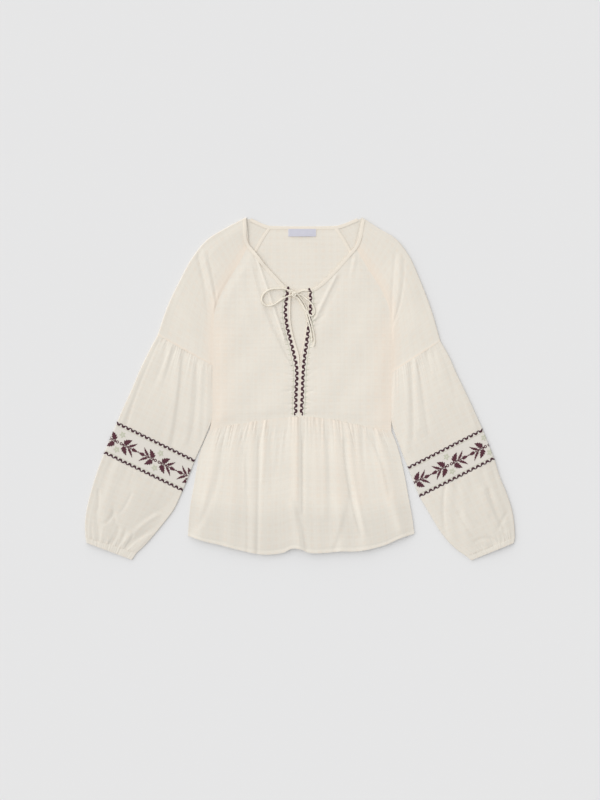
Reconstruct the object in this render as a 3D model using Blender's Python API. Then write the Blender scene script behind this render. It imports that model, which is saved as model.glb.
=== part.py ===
"""An embroidered folk blouse, laid flat with its front up.

Every cloth piece is a wall of one thickness over a grid of points. The back pieces lie flat on the
surface, the front pieces lie on them, and each sleeve piece wraps from its front seam, round the outer
fold, to its back seam. Plan sizes in the tables are whole millimetres from the middle of the garment:
x grows to the right of the picture, y grows from the hem to the neck.
"""
import bpy
import numpy as np

MM = 0.001

# Cloth and seams
WALL = 1.2
SEAM = 0.4
LAYER_GAP = 0.3
UPPER = WALL + LAYER_GAP
FOLD_RADIUS = 1.95
FOLD_STEPS = 4

# The tie
CORD_DIAMETER = 2.8
CORD_STEP = 6.5
CORD_CLEAR = 0.35
CORD_REACH = 0.8
KNOT_SIZE = (9.0, 8.0, 6.4)
KNOT_PLACE = (-10, 176)
KNOT_RINGS = 5
KNOT_AROUND = 10
PROBES = 8

# Mesh steps
RAGLAN_ROWS = 14
RAGLAN_STEPS = (16, 4)
SIDE_ROWS = 4
FRONT_COLUMNS = 9
BACK_COLUMNS = 12
BINDING_ROWS = {"back": 12, "front": 18}
CORNER_SHARE = 0.15

# The raglan shoulder: outer fold, front seam and back seam, from the neck to the dropped seam
RAGLAN_COLUMNS = ("outer_x", "outer_y", "front_x", "front_y", "back_x", "back_y")
RAGLAN = {
    "left": (
        (-101, 320, -96, 270, -58, 304),
        (-139, 300, -111, 240, -77, 268),
        (-174, 278, -129, 210, -99, 227),
        (-202, 244, -146, 180, -124, 184),
        (-225, 202, -159, 146, -150, 142),
        (-248, 154, -163, 109, -163, 109),
        (-267, 99, -163, 41, -163, 41),
    ),
    "right": (
        (116, 320, 103, 266, 69, 304),
        (146, 300, 120, 236, 88, 268),
        (180, 279, 139, 206, 111, 227),
        (204, 248, 156, 178, 133, 186),
        (225, 202, 168, 146, 159, 144),
        (246, 147, 172, 105, 172, 105),
        (263, 88, 172, 28, 172, 28),
    ),
}

# The sleeve below the dropped seam: its outer fold and its underarm seam
SLEEVE_COLUMNS = ("station", "outer_x", "outer_y", "inner_x", "inner_y")
SLEEVE = {
    "left": (
        ("drop", -267, 99, -163, 41),
        ("upper", -283, 69, -164, 8),
        ("elbow", -300, 34, -164.5, -24),
        ("low", -317, -6, -165.6, -52),
        ("fore", -330, -34, -178.5, -94),
        ("band_top", -342, -62, -196, -133),
        ("band_mid", -355, -93, -208, -164),
        ("band_end", -368, -124, -221, -195),
        ("full_1", -381, -159, -236, -227),
        ("full_2", -392, -195, -256, -254),
        ("full_3", -400, -229, -275, -277),
        ("full_4", -403, -257, -292, -296),
        ("cuff_top", -402, -279, -306, -309),
        ("cuff_end", -400, -290, -315, -322),
    ),
    "right": (
        ("drop", 263, 88, 172, 28),
        ("upper", 278, 62, 172, 0),
        ("elbow", 294, 26, 172.4, -30),
        ("low", 311, -9, 173, -58),
        ("fore", 326, -41, 186, -107),
        ("band_top", 341, -75, 201, -146),
        ("band_mid", 353, -105, 213, -176),
        ("band_end", 365, -135, 225, -206),
        ("full_1", 375, -167, 243, -236),
        ("full_2", 388, -199, 261, -266),
        ("full_3", 398, -231, 278, -288),
        ("full_4", 402, -259, 295, -304),
        ("cuff_top", 403, -279, 311, -315),
        ("cuff_end", 401, -290, 321, -323),
    ),
}

# Sleeve pieces below the raglan: where each starts and ends, its mesh and its gathers in millimetres
SLEEVE_PIECE_COLUMNS = ("piece", "start", "end", "rows", "top", "under", "puff", "start_gather", "end_gather")
SLEEVE_PIECES = (
    ("sleeve", "drop", "band_top", 7, 26, 4, 1.2, 0.6, 0.0),
    ("band", "band_top", "band_end", 2, 8, 3, 0.4, 0.0, 0.0),
    ("lower_sleeve", "band_end", "cuff_top", 9, 26, 4, 2.4, 0.0, 0.6),
    ("cuff", "cuff_top", "cuff_end", 2, 26, 4, 0.4, 0.6, 0.4),
)
GATHER_REACH = 26
RAGLAN_PUFF = 0.8

# How the top of a sleeve piece rises: all of it by this share of its width, round this crown, and no
# puff or fold within this share of either edge
RISE_SHARE = 0.7
PUFF_CROWN = 0.8
PUFF_START = 0.15
SLEEVE_EDGE = 0.125

# How far the front bodice stands off the back away from its edges, and how wide those edges are
FRONT_LIFT = 0.8
FRONT_EDGE = 0.2

# Outlines of the body, point by point
NECK_FRONT = {
    "left": ((-96, 270), (-82, 253), (-66, 232), (-46, 210), (-32, 195), (-18, 184)),
    "right": ((103, 266), (92, 253), (71, 229), (51, 208), (34, 193), (17, 183)),
}
SLIT = {
    "left": ((-18, 184), (-18, 156), (-18, 128), (-14, 103), (-8, 81), (-2, 60), (0, 41), (0, 0), (0, -54)),
    "right": ((17, 183), (16, 156), (15, 131), (11, 109), (7, 86), (2, 64), (0, 41), (0, 0), (0, -54)),
}
NECK_BACK = ((-58, 304), (-26, 303), (6, 303), (38, 303), (69, 304))
SHOULDER = {"left": (-101, 320), "right": (116, 320)}
SIDE = {
    "left": ((-163, 41), (-163.2, 8), (-163.4, -24), (-164.2, -50), (-169, -78)),
    "right": ((172, 28), (171.4, 0), (171.2, -30), (171.2, -56), (171, -81)),
}
WAIST = (
    (-169, -78), (-119, -68), (-72, -61), (-38, -56), (0, -54),
    (38, -56), (75, -62), (103, -68), (134, -74), (171, -81),
)
PEPLUM_SIDE = {
    "left": ((-169, -78), (-180, -102), (-189, -127), (-193, -150), (-199, -184), (-205, -218), (-210, -277)),
    "right": ((171, -81), (182, -109), (191, -142), (198, -176), (204, -210), (210, -242), (214, -273)),
}
HEM = (
    (-210, -277), (-180, -287), (-150, -294), (-120, -302), (-90, -309), (-68, -312), (-45, -311),
    (-30, -308), (-15, -301), (0, -302), (15, -308), (45, -309), (75, -306), (105, -306), (135, -301),
    (165, -292), (182, -284), (198, -278), (214, -273),
)
PEPLUM_GATHERS = 36
PEPLUM_ROWS = 8
PEPLUM_GATHER_HEIGHT = 0.6
PEPLUM_PUFF = 2.6
PEPLUM_PUFF_SHARE = 0.33
PEPLUM_EDGE = 0.07
PEPLUM_BACK_COLUMNS = 24

# The main folds: a ridge has a height above zero, a trough below; bow bends its middle to its left
FOLD_COLUMNS = ("piece", "start_x", "start_y", "end_x", "end_y", "bow", "half_width", "start_h", "end_h")
FOLDS = (
    ("peplum_front", -143, -84, -187, -262, 12, 11, -0.8, -1.6),
    ("peplum_front", -160, -100, -196, -270, 10, 12, 1.2, 2.4),
    ("peplum_front", -108, -75, -98, -300, 4, 9, -1.4, -1.8),
    ("peplum_front", -124, -75, -132, -296, 4, 11, 1.2, 2.2),
    ("peplum_front", -74, -66, -80, -311, -6, 9, -1.6, -2.4),
    ("peplum_front", -60, -66, -54, -300, -5, 11, 1.4, 2.2),
    ("peplum_front", -12, -58, -24, -304, 3, 10, 1.2, 2.4),
    ("peplum_front", 5, -60, 10, -304, -3, 8, -1.6, -2.4),
    ("peplum_front", 24, -62, 34, -300, 3, 12, 1.2, 2.0),
    ("peplum_front", 46, -70, 56, -300, 3, 8, -1.4, -1.6),
    ("peplum_front", 66, -70, 74, -296, 4, 12, 1.0, 2.2),
    ("peplum_front", 82, -74, 108, -266, -5, 8, -1.6, -1.2),
    ("peplum_front", 96, -180, 62, -306, 4, 8, -0.8, -1.6),
    ("peplum_front", 112, -78, 120, -290, -4, 12, 1.2, 2.2),
    ("peplum_front", 132, -88, 168, -192, 4, 9, -1.4, -0.8),
    ("peplum_front", 148, -90, 190, -262, -8, 12, 1.2, 2.0),
    ("sleeve_left", -266, 76, -322, -52, 6, 8, -1.0, -0.8),
    ("sleeve_left", -219, 66, -240, -96, -8, 8, -1.6, -1.2),
    ("sleeve_left", -192, 46, -206, -100, -5, 7, -1.4, -0.8),
    ("sleeve_left", -172, 20, -172, -60, 0, 7, 1.2, 0.8),
    ("sleeve_left", -240, 70, -268, -80, 4, 10, 1.2, 1.0),
    ("sleeve_right", 210, 46, 212, -98, 3, 7, -1.4, -1.0),
    ("sleeve_right", 222, 56, 236, -60, -4, 9, 1.4, 0.8),
    ("sleeve_right", 238, 62, 244, 30, 0, 7, -1.2, -0.6),
    ("sleeve_right", 262, 76, 292, -40, 6, 8, -1.2, -0.8),
    ("sleeve_right", 280, 50, 326, -66, 6, 10, 1.0, 1.2),
    ("lower_sleeve_left", -352, -140, -378, -212, -4, 8, -1.2, -0.8),
    ("lower_sleeve_left", -340, -150, -366, -270, -6, 11, 1.0, 2.0),
    ("lower_sleeve_left", -380, -226, -379, -264, 0, 6, -1.2, -0.8),
    ("lower_sleeve_left", -330, -262, -348, -296, 3, 6, -1.4, -1.2),
    ("lower_sleeve_left", -281, -246, -330, -297, -4, 7, -1.4, -1.2),
    ("lower_sleeve_left", -245, -236, -304, -286, -3, 8, -1.2, -1.0),
    ("lower_sleeve_right", 277, -178, 270, -274, -8, 9, -1.8, -1.2),
    ("lower_sleeve_right", 300, -186, 312, -288, -6, 12, 1.2, 2.2),
    ("lower_sleeve_right", 300, -234, 341, -297, -4, 8, -1.4, -1.0),
    ("lower_sleeve_right", 343, -158, 380, -256, -6, 8, -1.0, -1.4),
    ("lower_sleeve_right", 366, -160, 396, -248, -6, 7, -1.0, -0.8),
    ("lower_sleeve_right", 360, -246, 364, -262, 0, 6, -1.6, -1.4),
    ("raglan_left", -192, 250, -164, 50, 12, 11, -1.0, -1.4),
    ("raglan_left", -172, 236, -160, 140, 5, 12, 1.0, 1.0),
    ("raglan_right", 178, 242, 174, 130, 4, 11, -0.8, -1.0),
    ("raglan_right", 188, 232, 178, 112, 8, 12, 1.0, 1.0),
    ("front_left", -92, 234, -24, 92, -8, 11, 2.0, 1.2),
    ("front_left", -92, 226, -24, 62, -10, 8, -1.0, -1.0),
    ("front_right", 104, 244, 98, 222, 0, 8, -0.8, -0.6),
    ("front_right", 60, 198, 28, 132, -6, 10, 1.6, 1.0),
    ("front_right", 74, 200, 44, 130, -6, 8, -0.8, -0.6),
)

# The free stretches of the tie in plan, each lying on the cloth and on the stretches before it
TIE_ROUTES = {
    "tie_run_left": ((-16.4, 182.6), (-14.6, 181.2), (-13.2, 180)),
    "tie_run_right": ((15.4, 182.4), (8, 182.6), (1, 181), (-5, 178.4)),
    "tie_tail_long": (
        (-4.4, 171.6), (3, 166), (9, 157), (13.5, 146), (17, 134), (20, 124), (23, 114), (25.4, 104),
        (26.6, 95), (27, 85), (25.4, 78),
    ),
    "tie_tail_short": ((15.4, 126), (17.4, 118), (19.8, 108), (21.6, 98), (22.4, 88)),
    "tie_loop_right": (
        (-4.9, 175), (2, 174), (10, 168.5), (19, 161), (25, 153), (27, 144), (25.6, 137.6), (21, 135),
        (15.6, 137.5), (11, 145), (6, 154), (1, 162), (-3, 167), (-5.6, 170.2),
    ),
    "tie_loop_left": (
        (-15.4, 178.6), (-20, 182), (-28, 185.6), (-42, 186), (-56, 184), (-66, 178), (-71, 170), (-71, 162),
        (-66, 156), (-56, 154), (-47, 157), (-38, 163), (-28, 169.5), (-21, 172.5), (-15.4, 174),
    ),
}

BINDING_WIDTH = 4.2
BINDING_SHARES = (0.1, 0.55, 1)
BINDING_REACH = 1.5
BACK_BINDING_END = np.array([9, -2])
BODY_MIDDLE = np.array([6, 200])
SHOULDER_INSET = (0, -4)
LABEL_SIZE = (52, 14)
LABEL_PLACE = (4, 291)
LABEL_WALL = 1.0

CLOTH_COLOUR = (0.80, 0.75, 0.66, 1)
BAND_COLOUR = (0.78, 0.76, 0.68, 1)
TRIM_COLOUR = (0.84, 0.79, 0.70, 1)
LABEL_COLOUR = (0.78, 0.77, 0.80, 1)


def material(name, colour):
    """A matte cloth finish."""
    made = bpy.data.materials.new(name)
    made.use_nodes = True
    shader = made.node_tree.nodes["Principled BSDF"]
    shader.inputs["Base Color"].default_value = colour
    shader.inputs["Roughness"].default_value = 0.9
    made.diffuse_color = colour
    return made


def columns(rows, names, *wanted):
    """The named columns of a table, as an array with a row for each of the table's rows."""
    places = [names.index(name) for name in wanted]
    return np.array([[row[place] for place in places] for row in rows], float)


def smooth(points, at):
    """A curve through the points, cubic between them, read at shares of its length from 0 to 1."""
    points = np.asarray(points, float)
    stations = np.r_[0, np.cumsum(np.linalg.norm(np.diff(points, axis=0), axis=1))]
    slope = np.gradient(points, stations, axis=0)
    where = np.asarray(at, float) * stations[-1]
    left = np.clip(np.searchsorted(stations, where, side="right") - 1, 0, len(points) - 2)
    step = (stations[left + 1] - stations[left])[:, None]
    t = (where - stations[left])[:, None] / step
    start, end = points[left], points[left + 1]
    curve = (2 * t**3 - 3 * t**2 + 1) * start + (t**3 - 2 * t**2 + t) * step * slope[left]
    return curve + (3 * t**2 - 2 * t**3) * end + (t**3 - t**2) * step * slope[left + 1]


def even(points, count):
    """The curve through the points, read at count even steps."""
    return smooth(points, np.linspace(0, 1, count + 1))


def coons(top, bottom, left, right):
    """The plan grid between four edges: top and bottom run left to right, left and right run down."""
    u = np.linspace(0, 1, len(top))[None, :, None]
    v = np.linspace(0, 1, len(left))[:, None, None]
    across = (1 - u) * left[:, None] + u * right[:, None]
    down = (1 - v) * top[None] + v * bottom[None]
    corners = (1 - v) * ((1 - u) * top[0] + u * top[-1]) + v * ((1 - u) * bottom[0] + u * bottom[-1])
    return across + down - corners


def pulled_in(grid, distance, edges="NSWE"):
    """The grid with its named edges moved inwards by a distance; N is the first row, W the first column."""
    grid = grid.copy()
    sides = {"N": ((0,), (1,)), "S": ((-1,), (-2,)), "W": ((slice(None), 0), (slice(None), 1)),
             "E": ((slice(None), -1), (slice(None), -2))}
    for edge in edges:
        outer, inner = sides[edge]
        inward = grid[inner] - grid[outer]
        length = np.linalg.norm(inward, axis=-1, keepdims=True)
        grid[outer] += inward / np.maximum(length, 1e-6) * distance
    return grid


def fade(value):
    """A soft step from 0 to 1."""
    value = np.clip(value, 0, 1)
    return value * value * (3 - 2 * value)


def crown(share, edge):
    """Rises from 0 to 1 over an edge's share at either end, and stays 1 between them."""
    return fade(share / edge) * fade((1 - share) / edge)


def relief(piece, plan):
    """The height that a piece's folds add at each plan point.

    A fold follows a parabola: its middle stands its bow aside from the straight line between its ends.
    Its height falls off as a bell across it and, twice as slowly, past its ends.
    """
    height = np.zeros(plan.shape[:-1])
    for row in FOLDS:
        fold = dict(zip(FOLD_COLUMNS, row))
        if fold["piece"] != piece:
            continue
        start = np.array([fold["start_x"], fold["start_y"]], float)
        along = np.array([fold["end_x"], fold["end_y"]]) - start
        length = np.linalg.norm(along)
        along /= length
        aside = np.array([-along[1], along[0]])
        share = (plan - start) @ along / length
        off = (plan - start) @ aside - fold["bow"] * 4 * share * (1 - share)
        beyond = np.maximum(np.maximum(-share, share - 1), 0) * length
        size = fold["start_h"] + (fold["end_h"] - fold["start_h"]) * np.clip(share, 0, 1)
        height += size * np.exp(-((off / fold["half_width"]) ** 2) - (beyond / (2 * fold["half_width"])) ** 2)
    return height


def wall(name, outer, inner, finish):
    """A closed solid between two grids of the same shape: outer, inner and the four edges between."""
    rows, across = outer.shape[:2]
    count = rows * across
    number = np.arange(count).reshape(rows, across)
    quads = np.stack([number[:-1, :-1], number[1:, :-1], number[1:, 1:], number[:-1, 1:]], -1).reshape(-1, 4)
    rim = np.r_[number[0, :-1], number[:-1, -1], number[-1, :0:-1], number[:0:-1, 0]]
    after = np.roll(rim, -1)
    faces = [*quads.tolist(), *(quads[:, ::-1] + count).tolist()]
    faces += np.stack([rim, after, after + count, rim + count], -1).tolist()
    mesh = bpy.data.meshes.new(name)
    points = np.concatenate([outer.reshape(-1, 3), inner.reshape(-1, 3)]) * MM
    mesh.from_pydata(points.tolist(), [], faces)
    mesh.materials.append(finish)
    mesh.update()
    solid = bpy.data.objects.new(name, mesh)
    bpy.context.collection.objects.link(solid)
    return solid


def with_height(plan, height):
    """Plan points given a height each."""
    return np.dstack([plan, np.broadcast_to(height, plan.shape[:2])])


def panel(name, plan, under, finish, thickness=WALL):
    """A flat or folded panel: its underside at the given heights and its top one wall above."""
    return wall(name, with_height(plan, under + thickness), with_height(plan, under), finish)


def raglan_seam(side, edge):
    """A raglan seam or fold, from the neck to the dropped seam."""
    points = columns(RAGLAN[side], RAGLAN_COLUMNS, edge + "_x", edge + "_y")
    return even(points, RAGLAN_ROWS)


def body_side(side, edge):
    """A bodice panel's outer edge: along the raglan seam, then down the side to the waist."""
    below = even(SIDE[side], SIDE_ROWS)
    return np.concatenate([raglan_seam(side, edge), below[1:]])


def wrap(name, fold, front, back, top_steps, under_steps, puff, gathers, finish):
    """A sleeve piece: from the front seam across the top, round the outer fold and under to the back seam.

    Along each row the top rises from the seam to the fold, plus the puff, the folds and the gathers;
    the fold is half a circle; the under side lies flat.
    """
    gap = SEAM / 2
    front_side = pulled_in(np.stack([front, fold], 1), gap, "NSW")
    back_side = pulled_in(np.stack([back, fold], 1), gap, "NSW")
    front, back, fold = front_side[:, 0], back_side[:, 0], front_side[:, 1]
    toward = fold - front
    toward /= np.linalg.norm(toward, axis=1, keepdims=True)
    centre = fold - toward * FOLD_RADIUS
    share = np.linspace(0, 1, top_steps + 1)
    plan = front[:, None] + (centre - front)[:, None] * share[:, None]
    under = UPPER + (2 * FOLD_RADIUS - WALL - UPPER) * fade(share / RISE_SHARE)
    down = np.linspace(0, 1, len(fold))[:, None]
    lengthwise = np.sin(np.pi * (PUFF_START + (1 - 2 * PUFF_START) * down))
    rise = puff * np.sin(np.pi * share) ** PUFF_CROWN * lengthwise
    zigzag = np.where(np.arange(top_steps + 1) % 2, 1, -1)
    near_start, near_end = gathers
    run = np.linalg.norm(np.diff(fold, axis=0), axis=1).sum()
    near = near_start * np.exp(-down * run / GATHER_REACH) + near_end * np.exp(-(1 - down) * run / GATHER_REACH)
    under = under + crown(share, SLEEVE_EDGE) * (rise + relief(name, plan) + near * (1 + zigzag))
    under = np.maximum(under, UPPER)
    top_outer, top_inner = with_height(plan, under + WALL), with_height(plan, under)
    angle = np.linspace(np.pi / 2, -np.pi / 2, FOLD_STEPS + 1)[1:-1]

    def arc(radius):
        """The fold's half circle for each row."""
        reach = centre[:, None] + toward[:, None] * (radius * np.cos(angle))[:, None]
        return with_height(reach, FOLD_RADIUS + radius * np.sin(angle))

    back_share = np.linspace(0, 1, under_steps + 1)
    below = centre[:, None] + (back - centre)[:, None] * back_share[:, None]
    outer = np.concatenate([top_outer, arc(FOLD_RADIUS), with_height(below, 0)], axis=1)
    inner = np.concatenate([top_inner, arc(FOLD_RADIUS - WALL), with_height(below, WALL)], axis=1)
    if outer_turns_left(plan):
        outer, inner = outer[:, ::-1], inner[:, ::-1]
    return wall(name, outer, inner, finish)


def outer_turns_left(plan):
    """Whether a grid whose rows run down has its columns running to the left, which turns its faces over."""
    down, across = plan[-1, 0] - plan[0, 0], plan[0, -1] - plan[0, 0]
    return down[0] * across[1] - down[1] * across[0] < 0


def bodice(cloth):
    """The back bodice, flat on the surface, and the two front halves that lie on it."""
    gap = SEAM / 2
    sides = {side: body_side(side, "back") for side in ("left", "right")}
    top = even(NECK_BACK, BACK_COLUMNS)
    waist = even(WAIST, BACK_COLUMNS)
    plan = pulled_in(coons(top, waist, sides["left"], sides["right"]), gap)
    panel("back_bodice", plan, 0, cloth)
    half = len(WAIST) // 2
    waists = {"left": WAIST[:half], "right": WAIST[half - 1:]}
    for side in ("left", "right"):
        outer = body_side(side, "front")
        middle_points = (*NECK_FRONT[side], *SLIT[side][1:])
        middle = even(middle_points, len(outer) - 1)
        keep = np.minimum if side == "left" else np.maximum
        middle[:, 0] = keep(middle[:, 0], 0)
        first, last = (outer, middle) if side == "left" else (middle, outer)
        top = first[0] + (last[0] - first[0]) * np.linspace(0, 1, FRONT_COLUMNS + 1)[:, None]
        bottom = even(waists[side], FRONT_COLUMNS)
        plan = coons(top, bottom, first, last)
        plan[0] += (plan[1] - plan[0]) * CORNER_SHARE
        plan = pulled_in(plan, gap)
        share = np.linspace(0, 1, FRONT_COLUMNS + 1)
        height = crown(share, FRONT_EDGE) * (FRONT_LIFT + relief("front_" + side, plan))
        under = UPPER + np.maximum(height, 0)
        panel("front_" + side, plan, under, cloth)


def peplum(cloth):
    """The gathered strips below the waist: the back one flat, the front one in folds with its gathers."""
    gap = SEAM / 2
    edges = [even(PEPLUM_SIDE[side], PEPLUM_ROWS) for side in ("left", "right")]
    for name, steps in (("peplum_back", PEPLUM_BACK_COLUMNS), ("peplum_front", 2 * PEPLUM_GATHERS)):
        plan = pulled_in(coons(even(WAIST, steps), even(HEM, steps), *edges), gap, "NWE")
        if name == "peplum_back":
            panel(name, plan, 0, cloth)
            continue
        share = np.linspace(0, 1, steps + 1)
        down = np.linspace(0, 1, PEPLUM_ROWS + 1)[:, None]
        length = np.linalg.norm(edges[0][-1] - edges[0][0])
        gather = PEPLUM_GATHER_HEIGHT * np.exp(-down * length / GATHER_REACH)
        zigzag = 1 + np.where(np.arange(steps + 1) % 2, 1, -1)
        puff = PEPLUM_PUFF * fade(down / PEPLUM_PUFF_SHARE)
        under = UPPER + np.maximum(crown(share, PEPLUM_EDGE) * (puff + relief(name, plan) + gather * zigzag), 0)
        panel(name, plan, under, cloth)


def sleeves(cloth, band_cloth):
    """Both sleeves, piece by piece from the neck to the cuff."""
    for side in ("left", "right"):
        edges = [raglan_seam(side, edge) for edge in ("outer", "front", "back")]
        wrap("raglan_" + side, *edges, *RAGLAN_STEPS, RAGLAN_PUFF, (0, 0), cloth)
        table = SLEEVE[side]
        names = [row[0] for row in table]
        for row in SLEEVE_PIECES:
            piece = dict(zip(SLEEVE_PIECE_COLUMNS, row))
            rows = table[names.index(piece["start"]):names.index(piece["end"]) + 1]
            fold = even(columns(rows, SLEEVE_COLUMNS, "outer_x", "outer_y"), piece["rows"])
            inner = even(columns(rows, SLEEVE_COLUMNS, "inner_x", "inner_y"), piece["rows"])
            gathers = (piece["start_gather"], piece["end_gather"])
            finish = band_cloth if piece["piece"] == "band" else cloth
            name = piece["piece"] + "_" + side
            wrap(name, fold, inner, inner, piece["top"], piece["under"], piece["puff"], gathers, finish)


def upper_height(places):
    """The top of whatever lies highest below each plan point, among the pieces made so far."""
    graph = bpy.context.evaluated_depsgraph_get()
    heights = []
    for x, y in places:
        hit, place, *_ = bpy.context.scene.ray_cast(graph, (x * MM, y * MM, 1.0), (0, 0, -1))
        heights.append(place.z / MM if hit else 0)
    return np.array(heights)


def highest_near(places, reach):
    """The highest top within a reach of each plan point."""
    places = np.asarray(places, float)
    turns = np.linspace(0, 2 * np.pi, PROBES, endpoint=False)
    ring = np.stack([np.cos(turns), np.sin(turns)], 1) * reach
    return np.max([upper_height(places + offset) for offset in (*ring, ring[0] * 0)], axis=0)


def carried(heights):
    """Heights along a run, each raised to its neighbours', so that a stiff strip or cord clears them."""
    padded = np.pad(heights, 1, mode="edge")
    return np.max([padded[:-2], padded[1:-1], padded[2:]], axis=0)


def binding(trim):
    """The neck binding: one stretch over the back layer and one over each front edge, up to the shoulder."""
    left, right = (np.array(SHOULDER[side]) for side in ("left", "right"))
    back = even([left + BACK_BINDING_END, *NECK_BACK, right + BACK_BINDING_END * (-1, 1)], BINDING_ROWS["back"])
    strips = {"binding_back": back}
    for side in ("left", "right"):
        shoulder = np.array(SHOULDER[side], float) + SHOULDER_INSET
        strips["binding_" + side] = even([shoulder, *NECK_FRONT[side]], BINDING_ROWS["front"])
    for name, edge in strips.items():
        onto = -1 if name == "binding_back" else 1
        run = np.gradient(edge, axis=0)
        side = np.stack([-run[:, 1], run[:, 0]], 1)
        side /= np.linalg.norm(side, axis=1, keepdims=True)
        side *= onto * np.sign((side * (edge - BODY_MIDDLE)).sum(1, keepdims=True))
        rows = np.stack([edge + side * share * BINDING_WIDTH for share in BINDING_SHARES], 1)
        tops = highest_near(rows.reshape(-1, 2), BINDING_REACH).reshape(rows.shape[:2]).max(axis=1)
        if outer_turns_left(rows):
            rows = rows[:, ::-1]
        panel(name, rows, carried(tops)[:, None] + LAYER_GAP, trim)


def label(finish):
    """The blank woven tab inside the back neck."""
    width, depth = LABEL_SIZE
    across, along = np.meshgrid(np.array([-width, width]) / 2, np.array([depth, -depth]) / 2)
    plan = np.dstack([across, along]) + LABEL_PLACE
    panel("label", plan, UPPER, finish, LABEL_WALL)


def tie(trim):
    """The rouleau tie's free stretches: thin tubes that lie on the cloth."""
    radius = CORD_DIAMETER / 2
    for name, route in TIE_ROUTES.items():
        length = np.linalg.norm(np.diff(route, axis=0), axis=1).sum()
        plan = even(route, max(2, round(length / CORD_STEP)))
        floor = carried(highest_near(plan, radius + CORD_REACH))
        points = np.c_[plan, floor + radius + CORD_CLEAR]
        curve = bpy.data.curves.new(name, "CURVE")
        curve.dimensions = "3D"
        curve.bevel_depth = radius * MM
        curve.bevel_resolution = 2
        curve.use_fill_caps = True
        spline = curve.splines.new("POLY")
        spline.points.add(len(points) - 1)
        for point, place in zip(spline.points, points * MM):
            point.co = (*place, 1)
        curve.materials.append(trim)
        bpy.context.collection.objects.link(bpy.data.objects.new(name, curve))


def knot(trim):
    """The knot of the bow: a closed ball of rings, wider than it is high."""
    around, rings = KNOT_AROUND, KNOT_RINGS
    turn = np.linspace(0, 2 * np.pi, around, endpoint=False)
    tilt = np.linspace(-np.pi / 2, np.pi / 2, rings + 2)[1:-1]
    ball = [(np.cos(a) * np.cos(b), np.cos(a) * np.sin(b), np.sin(a)) for a in tilt for b in turn]
    ball = np.array([*ball, (0, 0, -1), (0, 0, 1)]) * np.array(KNOT_SIZE) / 2
    ball += (*KNOT_PLACE, UPPER + KNOT_SIZE[2] / 2)
    faces = []
    for ring in range(rings - 1):
        for step in range(around):
            low, lower = ring * around + step, ring * around + (step + 1) % around
            faces.append((low, lower, lower + around, low + around))
    south, north = rings * around, rings * around + 1
    for step in range(around):
        after = (step + 1) % around
        faces.append((south, after, step))
        faces.append((north, (rings - 1) * around + step, (rings - 1) * around + after))
    mesh = bpy.data.meshes.new("tie_knot")
    mesh.from_pydata((ball * MM).tolist(), [], faces)
    mesh.materials.append(trim)
    bpy.context.collection.objects.link(bpy.data.objects.new("tie_knot", mesh))


def main():
    """Clear the scene and make every piece."""
    for old in list(bpy.data.objects):
        bpy.data.objects.remove(old)
    cloth = material("cotton_gauze", CLOTH_COLOUR)
    band_cloth = material("band_cloth", BAND_COLOUR)
    trim = material("bias_trim", TRIM_COLOUR)
    bodice(cloth)
    peplum(cloth)
    sleeves(cloth, band_cloth)
    bpy.context.view_layer.update()
    binding(trim)
    label(material("label_weave", LABEL_COLOUR))
    bpy.context.view_layer.update()
    tie(trim)
    knot(trim)


main()
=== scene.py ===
# %% [markdown]
# An embroidered folk blouse, laid flat
# The blouse is light cotton gauze: raglan shoulders, a sleeve gathered into a dropped seam, a crisp
# embroidered band set into it, a full lower sleeve on an elastic cuff, and a gathered peplum. The packed
# solids give every piece its place. This lesson dresses each one in a fine shell of cloth with its
# creases, gathers, seams and stitches, all worked out as functions on grids.

# %% Load the frame
import math

import bpy
import numpy as np
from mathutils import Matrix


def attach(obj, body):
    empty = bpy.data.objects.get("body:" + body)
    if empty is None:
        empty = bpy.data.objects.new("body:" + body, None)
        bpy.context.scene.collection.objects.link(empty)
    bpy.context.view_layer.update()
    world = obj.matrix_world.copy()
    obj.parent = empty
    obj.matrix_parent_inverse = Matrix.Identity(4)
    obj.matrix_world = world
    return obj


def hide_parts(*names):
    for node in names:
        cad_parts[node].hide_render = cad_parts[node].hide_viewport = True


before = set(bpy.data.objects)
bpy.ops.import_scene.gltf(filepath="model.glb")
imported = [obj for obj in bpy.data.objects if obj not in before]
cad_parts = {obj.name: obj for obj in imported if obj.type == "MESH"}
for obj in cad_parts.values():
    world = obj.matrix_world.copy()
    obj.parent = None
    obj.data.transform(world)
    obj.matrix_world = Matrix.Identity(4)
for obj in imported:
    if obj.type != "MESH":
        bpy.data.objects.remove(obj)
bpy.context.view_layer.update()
MM = 0.001

# %% [markdown]
# The set is what a catalogue picture has: a pale floor, a camera straight above, and light so soft that
# only the folds and the outline cast a shadow. The camera stands far off with a long lens, so the sides
# of the blouse hardly show. A low, wide sun adds the little direction that the folds need.

# %% Camera, floor and light
PHOTO_SIZE = (600, 800)
PHOTO_SCALE = 1.875
PHOTO_MIDDLE = (300, 388)
LENS = 85
SENSOR = 36
FLOOR_GREY = 0.80
SKY_COLOUR = (0.99, 0.99, 0.995, 1)
SKY_STRENGTH = 0.662
VIEW_REACH = 20
SUN_COLUMNS = ("name", "strength", "angle", "turn", "tilt")
SUNS = (
    ("window", 1.45, 76, 72, -54),
    ("top_light", 0.75, 36, 0, -75),
)


def make_camera():
    """A camera above the floor whose frame is the photo's, at its millimetres to a pixel."""
    data = bpy.data.cameras.new("camera")
    data.lens, data.sensor_width = LENS, SENSOR
    height = PHOTO_SIZE[1] * PHOTO_SCALE * MM * LENS / SENSOR
    camera = bpy.data.objects.new("camera", data)
    camera.location = (0, (PHOTO_MIDDLE[1] - PHOTO_SIZE[1] / 2) * PHOTO_SCALE * MM, height)
    data.clip_end = VIEW_REACH
    bpy.context.scene.collection.objects.link(camera)
    bpy.context.scene.camera = camera
    print("the camera stands", round(height, 3), "m above the floor")


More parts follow.
